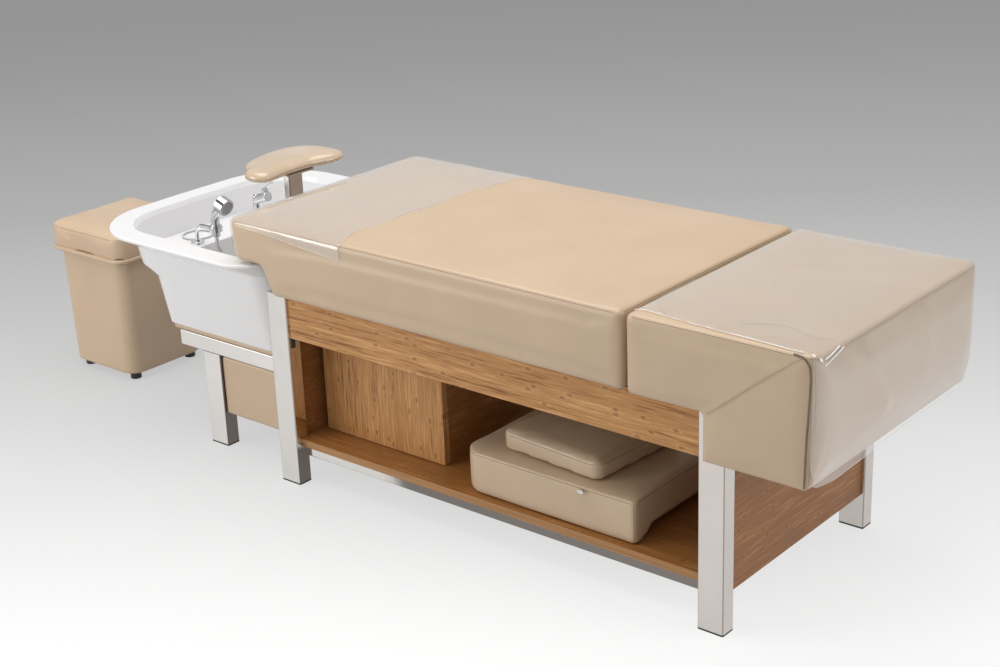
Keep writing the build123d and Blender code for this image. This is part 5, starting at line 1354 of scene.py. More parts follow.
@dataclass
class SoftPad:
    """A stuffed piece: its CAD form shrunk a little, swollen by cloth simulation and dressed."""

    node: str
    name: str
    body: str
    voxel: float
    cap: float = 0.006
    inset: float = 0.0015
    pressure: float = 4.0
    fill: float = 0.8
    low_give: Point = (0.001, 0.001, 0.0)
    high_give: Point = (0.001, 0.001, 0.004)
    swell: bool = True
    quality: int = 4
    last_frame: int = 20
    stiffness: float = 18.0
    finer: int = 1
    lumps: float = 0.0004
    crown: float = 0.0
    dome: float = 0.0

    def build(self, finishes: Finishes, cover: bpy.types.Material | None = None) -> bpy.types.Mesh:
        """Builds the pad and puts it in place of its CAD solid.

        Args:
            finishes: The object's finishes.
            cover: Another cover material.

        Returns:
            The pad's mesh, in its place.
        """
        low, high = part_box(self.node)
        mesh = self.start_form(low, high)
        rest = corners_of(mesh)
        if self.swell:
            moved = self.swollen(mesh)
        else:
            moved = self.puffed(mesh)
        step = moved - rest
        far = np.linalg.norm(step, axis=1, keepdims=True)
        step *= self.cap * np.tanh(far / self.cap) / np.maximum(far, 1e-9)
        placed = rest + step
        placed = np.clip(placed, np.array(low) - np.array(self.low_give),
                         np.array(high) + np.array(self.high_give))
        move_corners(mesh, placed)
        mesh = self.refined(mesh)
        self.add_crown(mesh, low, high)
        self.add_lumps(mesh)
        pad = put(self.name, smoothed(mesh), cover or finishes.leathercloth)
        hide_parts(self.node)
        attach(pad, self.body)
        return mesh

    def start_form(self, low: Vector, high: Vector) -> bpy.types.Mesh:
        """Returns the CAD form, drawn in a little and remeshed to even squares.

        Args:
            low: Its lowest corner.
            high: Its highest corner.

        Returns:
            The mesh.
        """
        mesh = FRAME["nodes"][self.node].data.copy()
        work = bmesh.new()
        work.from_mesh(mesh)
        bmesh.ops.remove_doubles(work, verts=work.verts, dist=1e-5)
        bmesh.ops.recalc_face_normals(work, faces=work.faces)
        middle = (low + high) / 2
        size = high - low
        for corner in work.verts:
            for axis in range(3):
                share = (size[axis] - 2 * self.inset) / size[axis]
                corner.co[axis] = middle[axis] + (corner.co[axis] - middle[axis]) * share
        work.to_mesh(mesh)
        work.free()
        carrier = put(f"{self.name}_start", mesh)
        remesh = carrier.modifiers.new("Remesh", "REMESH")
        remesh.mode = "VOXEL"
        remesh.voxel_size = self.voxel
        return baked(carrier, f"{self.name}_form")

    def swollen(self, mesh: bpy.types.Mesh) -> np.ndarray:
        """Returns the points after a short cloth simulation with inner pressure.

        Args:
            mesh: The mesh at rest.

        Returns:
            The moved points.
        """
        carrier = put(f"{self.name}_cloth", mesh.copy())
        modifier = carrier.modifiers.new("Cloth", "CLOTH")
        cloth = modifier.settings
        cloth.quality = self.quality
        cloth.mass = 0.25
        cloth.tension_stiffness = self.stiffness
        cloth.compression_stiffness = self.stiffness
        cloth.shear_stiffness = 8.0
        cloth.bending_stiffness = 0.6
        cloth.use_pressure = True
        cloth.uniform_pressure_force = self.pressure
        cloth.effector_weights.gravity = 0.0
        modifier.collision_settings.use_collision = False
        modifier.point_cache.frame_start = 1
        modifier.point_cache.frame_end = self.last_frame
        scene = bpy.context.scene
        for frame in range(1, self.last_frame + 1):
            scene.frame_set(frame)
        graph = bpy.context.evaluated_depsgraph_get()
        result = carrier.evaluated_get(graph).to_mesh()
        moved = np.empty(len(result.vertices) * 3, np.float32)
        result.vertices.foreach_get("co", moved)
        scene.frame_set(1)
        bpy.data.objects.remove(carrier, do_unlink=True)
        return moved.reshape(-1, 3).astype(float)

    def puffed(self, mesh: bpy.types.Mesh) -> np.ndarray:
        """Returns the points pushed out evenly, the quick stand-in for the simulation."""
        points = corners_of(mesh)
        normals = np.empty(len(points) * 3, np.float32)
        mesh.vertices.foreach_get("normal", normals)
        return points + normals.reshape(-1, 3) * self.inset

    def refined(self, mesh: bpy.types.Mesh) -> bpy.types.Mesh:
        """Returns the mesh relaxed and subdivided."""
        carrier = put(f"{self.name}_relax", mesh)
        relax = carrier.modifiers.new("Relax", "SMOOTH")
        relax.factor = 0.5
        relax.iterations = 2
        if self.finer:
            finer = carrier.modifiers.new("Finer", "SUBSURF")
            finer.levels = finer.render_levels = self.finer
        return baked(carrier, self.name)

    def add_crown(self, mesh: bpy.types.Mesh, low: Vector, high: Vector) -> None:
        """Raises the top's middle, or lets its rim fall away.

        Args:
            mesh: The pad's mesh.
            low: The CAD box's lowest corner.
            high: Its highest corner.
        """
        if not (self.crown or self.dome):
            return
        points = corners_of(mesh)
        if self.crown:
            inward = np.minimum(np.minimum(points[:, 0] - low.x, high.x - points[:, 0]),
                                np.minimum(points[:, 1] - low.y, high.y - points[:, 1]))
            top_layer, rise = 0.030, 0.045
            top = np.clip((points[:, 2] - (high.z - top_layer)) / top_layer, 0.0, 1.0)
            points[:, 2] += self.crown * top * (1 - np.exp(-np.maximum(inward, 0.0) / rise))
        if self.dome:
            rim_width = 0.018
            work = bmesh.new()
            work.from_mesh(mesh)
            flat = points.copy()
            rim = np.array([v.co[:2] for v in work.verts if abs(v.normal.z) < 0.35])
            work.free()
            for row in range(len(flat)):
                near = np.sqrt(((rim - flat[row, :2]) ** 2).sum(1).min())
                fall = self.dome * math.exp(-near / rim_width)
                share = (flat[row, 2] - low.z) / (high.z - low.z)
                points[row, 2] -= fall * max(0.0, share)
        move_corners(mesh, points)

    def add_lumps(self, mesh: bpy.types.Mesh) -> None:
        """Moves the cover by a few tenths of a millimetre, as over foam."""
        points = corners_of(mesh)
        normals = np.empty(len(points) * 3, np.float32)
        mesh.vertices.foreach_get("normal", normals)
        depth = np.array([noise.noise(Vector(point) * 14.0) + 0.5 * noise.noise(Vector(point) * 37.0)
                          for point in points])
        move_corners(mesh, points + normals.reshape(-1, 3) * (depth * self.lumps)[:, None])


@dataclass
class BedCushions:
    """The main cushion and the foot cushion, with their seams."""

    seam_height: float = 0.6375
    main_x: tuple[float, float] = (-0.2902, 0.8193)
    foot_x: tuple[float, float] = (0.8248, 1.2528)

    def build(self, finishes: Finishes) -> tuple[bpy.types.Mesh, bpy.types.Mesh]:
        """Builds both cushions.

        Args:
            finishes: The object's finishes.

        Returns:
            The two meshes, in their places.
        """
        main = SoftPad("main_cushion", "main_cushion_cover", "bed", 0.0066, cap=0.0014, fill=0.9,
                       high_give=(0.0006, 0.001, 0.003), quality=3, finer=0, crown=0.004).build(finishes)
        foot = SoftPad("foot_cushion", "foot_cushion_cover", "bed", 0.0058, cap=0.0014, fill=0.9,
                       low_give=(0.0006, 0.001, 0.0), high_give=(0.002, 0.001, 0.003),
                       quality=3, finer=0, crown=0.004).build(finishes)
        Seam(self.rim_lines(*self.main_x)).build("main_cushion_seam", main, finishes, "bed")
        Seam(self.rim_lines(*self.foot_x) + self.mitre_lines()).build("foot_cushion_seam", foot, finishes,
                                                                     "bed")
        return main, foot

    def rim_lines(self, head: float, foot: float) -> list[np.ndarray]:
        """Returns the seam round a cushion, just under its top edge.

        Args:
            head: The cushion's head end.
            foot: Its foot end.

        Returns:
            One closed line.
        """
        half, z, cut = HALF_CUSHION, self.seam_height, 0.022
        line = [
            (head + cut, -half, z), (foot - cut, -half, z), (foot, -half + cut, z), (foot, half - cut, z),
            (foot - cut, half, z), (head + cut, half, z), (head, half - cut, z), (head, -half + cut, z),
            (head + cut, -half, z),
        ]
        return [np.array(line)]

    def mitre_lines(self) -> list[np.ndarray]:
        """Returns the slanting seams and the upright corner seams of the hanging end."""
        lines = []
        for side in (-1, 1):
            y = side * HALF_CUSHION
            lines.append(np.array([(1.2150, y, 0.6365), (1.1995, y, 0.6265), (1.1289, y, 0.5716),
                                   (1.0446, y, 0.5018), (1.0120, y, DECK + 0.003)]))
            lines.append(np.array([(1.2345, side * 0.3150, 0.630), (1.2400, side * 0.3150, 0.560),
                                   (1.2270, side * 0.3150, 0.379)]))
        return lines


@dataclass
class EndFilm:
    """A clear film over one end of the bed: a top, an end drop and side flaps, in one sheet."""

    name: str
    node: str
    outward: int
    end_x: float
    corner: float
    start: Callable[[float], float]
    near_y: Callable[[float], float]
    far_y: Callable[[float], float]
    end_drop: Callable[[float], float]
    near_drop: Callable[[float], float] | None
    far_drop: Callable[[float], float] | None
    loop_from: float
    loop_to: float
    flat: tuple[float, float]
    rests_on: str
    edge: float = 0.009
    clear: float = 0.0014
    columns: int = 110
    rows: int = 64
    corner_steps: int = 14
    end_steps: int = 46
    flap_steps: int = 12
    thickness: float = 0.0004
    laid_depth: float = 0.257
    lean: Callable[[float], float] | None = None
    hugging: float = 0.004
    ridges: tuple[tuple[tuple[Point, ...], float, float], ...] = ()

    def loop(self) -> tuple[np.ndarray, np.ndarray]:
        """Returns the end's inner loop and its outward directions, from near to far.

        Returns:
            Points in plan and unit directions.
        """
        inner = self.corner - self.edge
        middle_x = self.end_x - self.outward * self.corner
        span = HALF_CUSHION - self.corner
        near = [(math.radians(a), -span) for a in np.linspace(self.loop_from, 0.0, self.corner_steps)]
        far = [(math.radians(a), span) for a in np.linspace(0.0, self.loop_to, self.corner_steps)]
        places, ways = [], []
        for angle, y in near:
            way = (self.outward * math.cos(angle), -math.sin(angle))
            places.append((middle_x + inner * way[0], y + inner * way[1]))
            ways.append(way)
        count = self.columns - 2 * self.corner_steps
        for y in np.linspace(-span, span, count + 2)[1:-1]:
            places.append((middle_x + self.outward * inner, y))
            ways.append((self.outward, 0.0))
        for angle, y in far:
            way = (self.outward * math.cos(angle), math.sin(angle))
            places.append((middle_x + inner * way[0], y + inner * way[1]))
            ways.append(way)
        return np.array(places), np.array(ways)

    def drape(self, foot: np.ndarray, way: np.ndarray, drop: float, steps: int) -> np.ndarray:
        """Returns one line of points over the top edge and down a side.

        Args:
            foot: Start of the line on the top, in plan.
            way: Outward direction in plan.
            drop: How far down it reaches.
            steps: Number of points after the first.

        Returns:
            The points.
        """
        turn = self.edge * math.pi / 2
        total = turn + max(drop - self.edge, 0.0005)
        line = []
        for step in range(1, steps + 1):
            run = total * step / steps
            if run < turn:
                angle = run / self.edge
                out, down = self.edge * math.sin(angle), self.edge * (1 - math.cos(angle))
            else:
                out, down = self.edge, self.edge + run - turn
            if self.lean is not None:
                out += self.lean(down)
            line.append((foot[0] + way[0] * out, foot[1] + way[1] * out, CUSHION_TOP - down))
        return np.array(line)

    def build(self, cushion: bpy.types.Mesh, finishes: Finishes) -> None:
        """Builds the film over its cushion.

        Args:
            cushion: The cushion's mesh, in its place.
            finishes: The object's finishes.
        """
        tree = surface_tree(cushion)
        loop, ways = self.loop()
        count = len(loop)
        grid = np.zeros((self.rows + 1, count, 3))
        for column, end in enumerate(loop):
            across = column / (count - 1)
            for row in range(self.rows + 1):
                along = row / self.rows
                y_end = end[1]
                start_x = self.start(across)
                x = start_x + (end[0] - start_x) * along
                near, far = self.near_y(along), self.far_y(along)
                spread = near + (far - near) * across
                blend = along ** 3
                y = spread * (1 - blend) + y_end * blend
                grid[row, column] = (x, y, CUSHION_TOP)
        points = [tuple(point) for point in grid.reshape(-1, 3)]
        faces = [(r * count + c, r * count + c + 1, (r + 1) * count + c + 1, (r + 1) * count + c)
                 for r in range(self.rows) for c in range(count - 1)]
        end_ids = [self.rows * count + c for c in range(count)]
        end_lines = [self.drape(loop[c], ways[c], self.end_drop(c / (count - 1)), self.end_steps)
                     for c in range(count)]
        self.hang(points, faces, end_ids, end_lines)
        for drop, column, way in ((self.near_drop, 0, (0.0, -1.0)), (self.far_drop, count - 1, (0.0, 1.0))):
            if drop is None:
                continue
            ids = [r * count + column for r in range(self.rows + 1)]
            lines = [self.drape(grid[r, column, :2], np.array(way), drop(r / self.rows), self.flap_steps)
                     for r in range(self.rows + 1)]
            self.hang(points, faces, ids, lines)
        mesh = mesh_of(self.name, self.fitted(np.array(points), tree), faces, join=0.0002)
        for turn in range(3):
            carrier = put(f"{self.name}_sheet", mesh)
            relax = carrier.modifiers.new("Relax", "SMOOTH")
            relax.factor = 0.5
            relax.iterations = 6 if turn < 2 else 1
            mesh = baked(carrier, self.name)
            if turn < 2:
                move_corners(mesh, self.fitted(corners_of(mesh), tree, crease=False))
        film = put(self.name, smoothed(mesh), finishes.film)
        skin = film.modifiers.new("Skin", "SOLIDIFY")
        skin.thickness = self.thickness
        skin.offset = 1.0
        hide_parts(self.node)
        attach(film, "bed")

    def hang(self, points: list, faces: list, ids: list[int], lines: list[np.ndarray]) -> None:
        """Adds a hanging strip below a row of points.

        Args:
            points: The sheet's points, added to.
            faces: The sheet's faces, added to.
            ids: The row that the strip hangs from.
            lines: For each of them, the points below it.
        """
        steps = len(lines[0])
        start = len(points)
        for line in lines:
            points.extend(tuple(point) for point in line)
        for place in range(len(ids) - 1):
            above, beside = ids[place], ids[place + 1]
            for step in range(steps):
                here, there = start + place * steps + step, start + (place + 1) * steps + step
                faces.append((above, beside, there, here))
                above, beside = here, there

    def fitted(self, points: np.ndarray, tree: BVHTree, crease: bool = True) -> np.ndarray:
        """Returns the sheet's points lifted clear of the cushion, with soft creases.

        Args:
            points: The points.
            tree: The cushion's surface.
            crease: Whether creases are added.

        Returns:
            The fitted points.
        """
        placed = []
        for point in points:
            here = Vector(point)
            near, normal, _, _ = tree.find_nearest(here)
            gap = (here - near).dot(normal)
            if here.z > CUSHION_TOP - self.laid_depth:
                lift = self.clear
                if crease:
                    fold = noise.noise(Vector((here.x * 9.0, here.y * 5.0, here.z * 9.0)))
                    lift += 0.0010 * max(0.0, fold) + self.ridge_lift(here)
                if gap < lift or (crease and gap < self.hugging):
                    here = near + normal * lift
            placed.append(tuple(here))
        return np.array(placed)

    def ridge_lift(self, here: Vector) -> float:
        """Returns how far the film stands off at a place, over its wrinkles.

        Args:
            here: The place.

        Returns:
            The height in metres.
        """
        lift = 0.0
        for line, height, width in self.ridges:
            for start, end in zip(line, line[1:]):
                a, b = Vector(start), Vector(end)
                share = min(max((here - a).dot(b - a) / (b - a).length_squared, 0.0), 1.0)
                apart = (here - a.lerp(b, share)).length / width
                if apart < 2.5:
                    lift = max(lift, height * math.exp(-apart * apart))
        return lift


def wavy(stops: Sequence[tuple[float, float]]) -> Callable[[float], float]:
    """Returns a smooth function through a few points.

    Args:
        stops: Places from 0 to 1 and their values.

    Returns:
        The function.
    """
    places = [place for place, _ in stops]
    values = [value for _, value in stops]

    def read(at: float) -> float:
        """Returns the value at a place."""
        spot = min(max(at, places[0]), places[-1])
        index = max(i for i, place in enumerate(places) if place <= spot)
        if index == len(places) - 1:
            return values[-1]
        share = (spot - places[index]) / (places[index + 1] - places[index])
        share = share * share * (3 - 2 * share)
        return values[index] + (values[index + 1] - values[index]) * share

    return read


def head_film() -> EndFilm:
    """Returns the film over the head end, with its waved back edge and its widening side flaps."""
    head, reach = -0.2902, 0.388
    inner = HALF_CUSHION - 0.009
    back = wavy([(place, head + share * reach) for place, share in (
        (0.0, 0.941), (0.052, 0.906), (0.144, 0.874), (0.179, 0.897), (0.271, 0.909), (0.522, 0.923),
        (0.684, 0.925), (0.831, 0.955), (0.933, 0.976), (1.0, 1.0))])
    flap = wavy([(0.0, 0.0400), (0.176, 0.0336), (0.360, 0.0287), (0.546, 0.0224), (0.717, 0.0161),
                 (0.833, 0.0147), (1.0, 0.0102)])
    return EndFilm(
        name="head_film_sheet", node="head_film", outward=-1, end_x=head, corner=0.030,
        start=back, near_y=lambda _: -inner, far_y=lambda _: inner,
        end_drop=wavy([(0.0, 0.0102), (0.035, 0.016), (0.075, 0.076), (0.12, 0.081), (0.88, 0.081),
                       (0.93, 0.076), (0.965, 0.016), (1.0, 0.0102)]),
        near_drop=flap, far_drop=flap, loop_from=90.0, loop_to=90.0, flat=(0.72, 0.48),
        rests_on="main_cushion_cover", columns=120,
        ridges=(
            (((-0.2300, -0.2700, 0.643), (-0.1500, -0.2900, 0.643), (0.0200, -0.3000, 0.643)),
             0.0024, 0.008),
            (((-0.0900, 0.0600, 0.645), (0.0300, 0.0350, 0.645)), 0.0016, 0.006),
            (((-0.0700, 0.0300, 0.645), (0.0400, 0.0000, 0.645)), 0.0016, 0.006),
            (((-0.1400, 0.1400, 0.645), (0.0200, 0.1600, 0.645)), 0.0014, 0.008),
            (((-0.2300, -0.0500, 0.644), (-0.1200, -0.1200, 0.645)), 0.0014, 0.010),
        ),
    )


def foot_film() -> EndFilm:
    """Returns the film over the foot end, which hangs down over it to a loose hem."""
    near = wavy([(0.0, -0.2941), (0.157, -0.2954), (0.395, -0.3022), (0.591, -0.3053), (0.782, -0.3083),
                 (0.918, -0.3110), (1.0, -0.3100)])
    far = wavy([(0.0, 0.3150), (0.4, 0.3140), (1.0, 0.3100)])
    return EndFilm(
        name="foot_film_sheet", node="foot_film", outward=1, end_x=1.2468, corner=0.040,
        start=lambda _: 0.829, near_y=near, far_y=far,
        end_drop=wavy([(0.0, 0.262), (0.08, 0.270), (0.20, 0.280), (0.32, 0.278), (0.45, 0.271),
                       (0.65, 0.268), (0.82, 0.271), (0.95, 0.272), (1.0, 0.266)]),
        near_drop=None, far_drop=None, loop_from=55.0, loop_to=55.0, flat=(0.70, 0.72),
        rests_on="foot_cushion_cover", columns=120, rows=70, hugging=0.020,
        ridges=(
            (((1.0459, -0.2613, 0.644), (1.0761, -0.2409, 0.645), (1.1191, -0.2244, 0.645),
              (1.1571, -0.2357, 0.645), (1.1968, -0.2510, 0.644)), 0.0022, 0.006),
            (((1.1968, -0.2510, 0.644), (1.2236, -0.2268, 0.644)), 0.0022, 0.006),
            (((0.8290, -0.0831, 0.644), (0.8277, -0.1342, 0.644), (0.8328, -0.1937, 0.644),
              (0.8506, -0.2432, 0.644), (0.8788, -0.2775, 0.644), (0.9507, -0.3002, 0.644)), 0.0020, 0.006),
            (((1.2490, -0.1750, 0.600), (1.2520, -0.1200, 0.540), (1.2480, -0.0700, 0.470)), 0.0040, 0.018),
            (((1.2450, 0.0600, 0.610), (1.2500, 0.1000, 0.540)), 0.0030, 0.020),
            (((0.9300, 0.0800, 0.645), (1.0400, 0.1250, 0.646)), 0.0022, 0.010),
        ),
        lean=wavy([(0.0, 0.0), (0.0815, 0.006), (0.267, -0.0148), (0.30, -0.0165)]),
    )


# Other sub-assemblies


@dataclass
class FilmFolds:
    """The films' borders and bends drawn as painted highlights, their thin folds drawn as dark lines of
    painted shade, and the shaded corner under the foot film's edge.
    """

    top: float = 0.6425

    def build(self, main: bpy.types.Mesh, foot: bpy.types.Mesh, finishes: Finishes) -> None:
        """Builds the folds on both films.

        Args:
            main: The main cushion's mesh.
            foot: The foot cushion's mesh.
            finishes: The object's finishes.
        """
        on_main, on_foot = surface_tree(main), surface_tree(foot)
        for name, lines, radius, finish, tree, lift in (
            ("foot_film_corner_shade", [self.corner()], 0.0021, finishes.corner, on_foot, 0.0006),
            ("foot_film_border_highlight", [self.border()], 0.0008, finishes.painted_highlight, on_foot, 0.0020),
            ("foot_film_fold_shade", self.creases(), 0.00032, finishes.film_fold_shade, on_foot, 0.0026),
            ("foot_film_painted_glints", self.painted_highlight_lines(), 0.0012, finishes.painted_highlight, on_foot, 0.0024),
            ("head_film_border_highlight", [self.flap_border(), self.back_border()], 0.0003, finishes.painted_highlight, on_main,
             0.0018),
        ):
            draw_fold(name, lines, radius, finish, "bed", tree, lift)

    def corner(self) -> np.ndarray:
        """Returns the line down the foot cushion's near corner, beside the film's border."""
        return np.array([
            (1.1930, -0.3190, 0.6400), (1.2160, -0.3200, 0.6360), (1.2270, -0.3195, 0.6220),
            (1.2290, -0.3185, 0.5963), (1.2275, -0.3180, 0.5572), (1.2235, -0.3180, 0.4784),
            (1.2215, -0.3180, 0.3830),
        ])

    def border(self) -> np.ndarray:
        """Returns the foot film's near border on the top, drawn as a painted highlight."""
        return np.array([(x, y, self.top) for x, y in (
            (0.8310, -0.2938), (0.8443, -0.2941), (0.8911, -0.2954), (0.9851, -0.3022), (1.0629, -0.3053),
            (1.1383, -0.3083), (1.1922, -0.3115), (1.2100, -0.3115))])

    def creases(self) -> list[np.ndarray]:
        """Returns the foot film's thin folds, drawn as dark lines of painted shade."""
        lines = (
            ((0.8290, -0.0831), (0.8277, -0.1342), (0.8328, -0.1937), (0.8506, -0.2432), (0.8788, -0.2775),
             (0.9096, -0.2959), (0.9507, -0.3002), (1.0500, -0.3015)),
            ((1.0459, -0.2613), (1.0761, -0.2409), (1.1191, -0.2244), (1.1571, -0.2357), (1.1968, -0.2510),
             (1.2236, -0.2268)),
        )
        return [np.array([(x, y, self.top) for x, y in line]) for line in lines]

    def painted_highlight_lines(self) -> list[np.ndarray]:
        """Returns the short painted highlights where the foot film turns down."""
        return [
            np.array([(1.2440, -0.2990, 0.6210), (1.2450, -0.2650, 0.6270), (1.2445, -0.2280, 0.6340)]),
            np.array([(1.2420, -0.2960, 0.6310), (1.2430, -0.2700, 0.6340), (1.2400, -0.2400, 0.6380)]),
        ]

    def flap_border(self) -> np.ndarray:
        """Returns the head film's lower border on the near side, drawn as a painted highlight."""
        return np.array([(x, -HALF_CUSHION, z) for x, z in (
            (-0.2569, 0.6308), (-0.2044, 0.6268), (-0.1654, 0.6254), (-0.1082, 0.6191), (-0.0457, 0.6128),
            (0.0158, 0.6079), (0.0701, 0.6019))])

    def back_border(self) -> np.ndarray:
        """Returns the head film's waved border on the top, drawn as a painted highlight."""
        return np.array([(x, y, self.top) for x, y in (
            (0.0700, -0.3100), (0.0613, -0.2909), (0.0531, -0.2668), (0.0490, -0.2311), (0.0577, -0.2083),
            (0.0623, -0.1485), (0.0671, -0.0874), (0.0680, 0.0140), (0.0688, 0.1192), (0.0805, 0.2152),
            (0.0886, 0.2809), (0.0960, 0.3150))])


@dataclass
class UpholsteredBoards:
    """The leathercloth-covered skirt panels and the board that the basin stands on."""

    boards: tuple[tuple[str, str, float], ...] = (
        ("skirt_panels", "skirt_panel_covers", 0.0045), ("basin_board", "basin_board_cover", 0.0050),
    )

    def build(self, finishes: Finishes) -> None:
        """Builds the covers.

        Args:
            finishes: The object's finishes.
        """
        for node, name, voxel in self.boards:
            SoftPad(node, name, "bed", voxel, cap=0.001, inset=0.0004, swell=False, finer=0, fill=1.0,
                    lumps=0.0003, high_give=(0.0005, 0.0005, 0.0005)).build(finishes)


@dataclass
class NeckRest:
    """The crescent neck pad."""

    def build(self, finishes: Finishes) -> None:
        """Builds the pad and its seam.

        Args:
            finishes: The object's finishes.
        """
        mesh = SoftPad("neck_rest_pad", "neck_pad_cover", "neck_rest", 0.0048, cap=0.004, inset=0.0012,
                       fill=0.85, high_give=(0.001, 0.001, 0.001), dome=0.009).build(
                           finishes, finishes.pad_cover)
        low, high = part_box("neck_rest_pad")
        ring = self.outline(mesh, low.z + 0.35 * (high.z - low.z))
        Seam([ring], rows=(0.0028,), fold=0.0007).build("neck_pad_seam", mesh, finishes, "neck_rest")

    def outline(self, mesh: bpy.types.Mesh, height: float) -> np.ndarray:
        """Returns the pad's outer outline at a height.

        Args:
            mesh: The pad's mesh.
            height: Where it is read.

        Returns:
            A closed line.
        """
        points = corners_of(mesh)
        centre = points.mean(0)
        level = points[abs(points[:, 2] - height) < 0.004]
        angles = np.arctan2(level[:, 1] - centre[1], level[:, 0] - centre[0])
        reach = np.hypot(level[:, 0] - centre[0], level[:, 1] - centre[1])
        line = []
        for angle in np.linspace(-math.pi, math.pi, 73):
            near = abs((angles - angle + math.pi) % (2 * math.pi) - math.pi) < 0.06
            far = reach[near].max() if near.any() else 0.12
            line.append((centre[0] + far * math.cos(angle), centre[1] + far * math.sin(angle), height))
        return np.array(line)


@dataclass
class Stool:
    """The storage stool: an upholstered box and a cushioned lid."""

    centre: tuple[float, float] = (-1.1002, 0.015)
    side: float = 0.308
    corner: float = 0.036
    lid_bottom: float = 0.345
    body_top: float = 0.272

    def build(self, finishes: Finishes) -> None:
        """Builds the box, the lid cushion and their seams.

        Args:
            finishes: The object's finishes.
        """
        box = SoftPad("stool_box", "stool_box_cover", "stool", 0.0050, cap=0.001, inset=0.0005,
                      swell=False, finer=0, fill=1.0, lumps=0.0004,
                      high_give=(0.0005, 0.0005, 0.0002)).build(finishes)
        SoftPad("stool_lid_board", "stool_lid_rim_cover", "stool_lid", 0.0040, cap=0.001, inset=0.0006,
                swell=False, finer=0, fill=1.0, lumps=0.0002,
                high_give=(0.0005, 0.0005, 0.0)).build(finishes)
        lid = SoftPad("stool_lid_cushion", "stool_lid_cover", "stool_lid", 0.0058, cap=0.005, fill=0.85,
                      low_give=(0.002, 0.002, 0.0), high_give=(0.001, 0.001, 0.001), dome=0.008).build(
                          finishes)
        half = self.body_top / 2
        Seam([self.square(half, self.lid_bottom - 0.013)], rows=(0.0028,), fold=0.0).build(
            "stool_box_seam", box, finishes, "stool")
        half = self.side / 2
        Seam([self.square(half, 0.417)], rows=(0.0030,), fold=0.0006).build(
            "stool_lid_seam", lid, finishes, "stool_lid")

    def square(self, half: float, height: float) -> np.ndarray:
        """Returns a rounded square line round the stool.

        Args:
            half: Half its side.
            height: Its height.

        Returns:
            A closed line.
        """
        x, y = self.centre
        return np.array([(x + dx, y + dy, height) for dx, dy in rounded_ring(half, half, self.corner, 7)])


@dataclass
class ShelfCushions:
    """The filler cushion and the small pillow on it."""

    seam_rise: float = 0.0935
    foot_corner: float = 0.008
    head_corner: float = 0.040
    head_bow: float = 0.012

    def build(self, finishes: Finishes) -> None:
        """Builds both with their seams.

        Args:
            finishes: The object's finishes.
        """
        filler = SoftPad("filler_cushion", "filler_cushion_cover", "filler_cushion", 0.0072, cap=0.004,
                         fill=0.85, high_give=(0.001, 0.002, 0.0)).build(finishes)
        pillow = SoftPad("pillow", "pillow_cover", "pillow", 0.0050, cap=0.004, inset=0.002, fill=0.7,
                         low_give=(0.002, 0.002, 0.0), high_give=(0.002, 0.002, 0.004)).build(finishes)
        low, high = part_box("filler_cushion")
        z = low.z + self.seam_rise
        cut, big, bow = self.foot_corner, self.head_corner, self.head_bow
        line = [(low.x + big, low.y, z), (high.x - cut, low.y, z), (high.x, low.y + cut, z),
                (high.x, high.y - cut, z), (high.x - cut, high.y, z), (low.x + big, high.y, z),
                (low.x + bow, high.y - bow, z), (low.x, high.y - big, z),
                (low.x, low.y + big, z), (low.x + bow, low.y + bow, z), (low.x + big, low.y, z)]
        edge_x, edge_y = high.x - 0.003, low.y + 0.003
        upright = [(edge_x, edge_y, z - 0.002), (edge_x, edge_y, low.z + 0.004)]
        Seam([np.array(line), np.array(upright)], rows=(-0.003,), fold=0.0007).build(
            "filler_seam", filler, finishes, "filler_cushion")
        self.pillow_seam(pillow, finishes)

    def pillow_seam(self, mesh: bpy.types.Mesh, finishes: Finishes) -> None:
        """Sews the pillow's seam round its fullest edge.

        Args:
            mesh: The pillow's mesh.
            finishes: The object's finishes.
        """
        low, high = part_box("pillow")
        middle = (low + high) / 2
        turn = Matrix.Rotation(math.radians(-4.5), 3, "Z")
        line = []
        for across, along in rounded_ring(0.1435, 0.145, 0.028, 6):
            place = turn @ Vector((across, along, 0.0))
            line.append((middle.x + place.x, middle.y + place.y, high.z - 0.014))
        Seam([np.array(line)], rows=(), fold=0.0007).build("pillow_seam", mesh, finishes, "pillow")


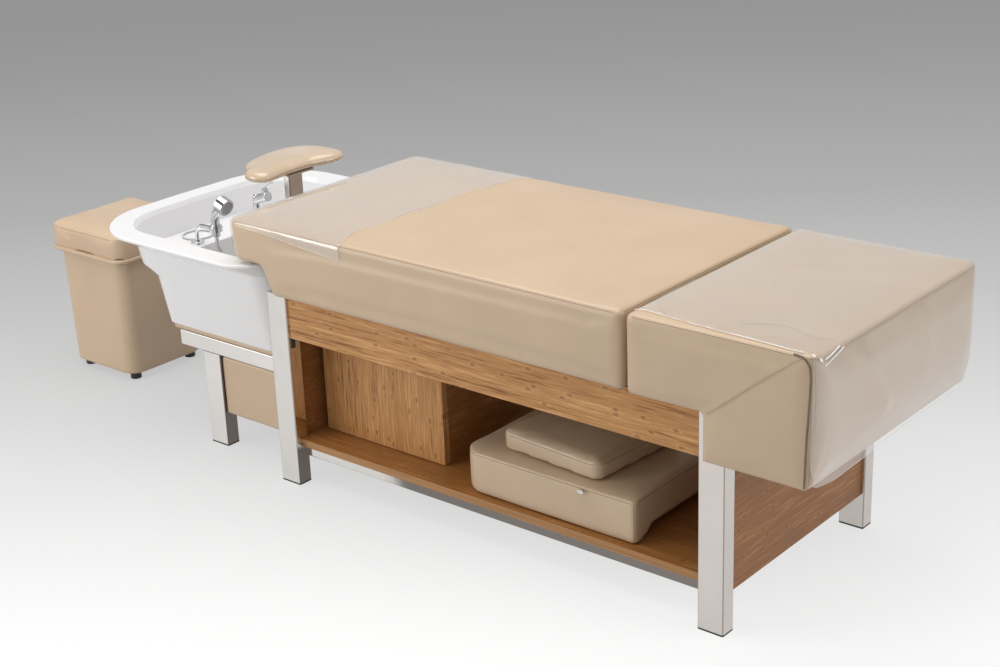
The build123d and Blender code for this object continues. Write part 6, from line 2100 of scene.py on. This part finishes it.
@dataclass
class TapDetails:
    """Small pieces on the taps: spray nozzles and a grip ring on the swivel nut."""

    tilt: float = 20.0
    nozzle_rings: tuple[tuple[float, int], ...] = ((0.005, 6), (0.010, 12), (0.0148, 18))
    ribs: int = 24

    def build(self, finishes: Finishes) -> None:
        """Builds the details.

        Args:
            finishes: The object's finishes.
        """
        self.nozzles(finishes)
        self.grip(finishes)

    def nozzles(self, finishes: Finishes) -> None:
        """Builds three rings of soft nozzles on the spray face."""
        low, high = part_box("hand_shower_face")
        centre = (low + high) / 2
        tilt = math.radians(self.tilt)
        way = Vector((math.cos(tilt), 0.0, -math.sin(tilt)))
        side = Vector((0.0, 1.0, 0.0))
        up = way.cross(side)
        face = centre + way * 0.0011
        points = [face]
        for radius, count in self.nozzle_rings:
            for step in range(count):
                angle = 2 * math.pi * step / count
                points.append(face + (side * math.cos(angle) + up * math.sin(angle)) * radius)
        mesh = STUD.run("spray_nozzles", points_mesh("nozzle_places", points), Stud_Radius=0.0009,
                        Stud_Height=0.0012, Direction=tuple(way), Finish=finishes.black)
        mount("spray_nozzles", mesh, "hand_shower")

    def grip(self, finishes: Finishes) -> None:
        """Builds the upright grip ribs round the hose's swivel nut."""
        low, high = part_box("hose_swivel_nut")
        centre = (low + high) / 2
        radius = (high.x - low.x) / 2
        lines = []
        for step in range(self.ribs):
            angle = 2 * math.pi * step / self.ribs
            x, y = centre.x + radius * math.cos(angle), centre.y + radius * math.sin(angle)
            lines.append(np.array([(x, y, low.z + 0.003), (x, y, high.z - 0.002)]))
        mesh = WELT.run("swivel_grip_ribs", line_mesh("rib_lines", lines), Fold_Radius=0.0005,
                        Finish=finishes.chrome)
        mount("swivel_grip_ribs", mesh, "hand_shower")


@dataclass
class Fasteners:
    """Screw heads under the aprons' corner brackets."""

    inset: float = 0.018
    offset: float = 0.2861
    drop: float = 0.0022

    def build(self, finishes: Finishes) -> None:
        """Builds the screw heads.

        Args:
            finishes: The object's finishes.
        """
        low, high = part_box("apron_near")
        points = []
        for side in (-1, 1):
            for x, way in ((low.x, 1), (high.x, -1)):
                points.append((x + way * self.inset, side * self.offset, low.z - self.drop))
        mesh = STUD.run("bracket_screws", points_mesh("screw_places", points), Stud_Radius=0.0032,
                        Stud_Height=-0.0016, Direction=(0.0, 0.0, -1.0), Finish=finishes.zinc)
        mount("bracket_screws", mesh, "bed")


def write_sizes() -> None:
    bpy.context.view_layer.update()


def main() -> None:
    """Builds the whole visual model, one sub-assembly after the other."""
    logging.basicConfig(level=logging.INFO, format="%(name)s: %(message)s")
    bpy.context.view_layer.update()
    Stage().build()
    log.info("stage built")
    finishes = Finishes()
    ShowerHose().build(finishes)
    log.info("shower hose built")
    finishes.dress(FRAME["nodes"])
    log.info("CAD nodes dressed")
    main_mesh, foot_mesh = BedCushions().build(finishes)
    log.info("bed cushions built")
    head_film().build(main_mesh, finishes)
    foot_film().build(foot_mesh, finishes)
    FilmFolds().build(main_mesh, foot_mesh, finishes)
    log.info("films built")
    UpholsteredBoards().build(finishes)
    NeckRest().build(finishes)
    Stool().build(finishes)
    ShelfCushions().build(finishes)
    log.info("pads and boards built")
    TapDetails().build(finishes)
    Fasteners().build(finishes)
    log.info("small details built")
    write_sizes()


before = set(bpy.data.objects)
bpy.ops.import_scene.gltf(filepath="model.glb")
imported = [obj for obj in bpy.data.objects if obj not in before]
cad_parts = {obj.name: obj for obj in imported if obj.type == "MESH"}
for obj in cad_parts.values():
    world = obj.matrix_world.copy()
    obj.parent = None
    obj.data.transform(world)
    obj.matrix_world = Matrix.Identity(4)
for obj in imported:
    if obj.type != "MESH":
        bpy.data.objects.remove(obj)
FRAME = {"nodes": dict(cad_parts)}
STITCH = stitch_repeater()
WELT = welt_repeater()
STUD = stud_repeater()

if __name__ == "__main__":
    main()
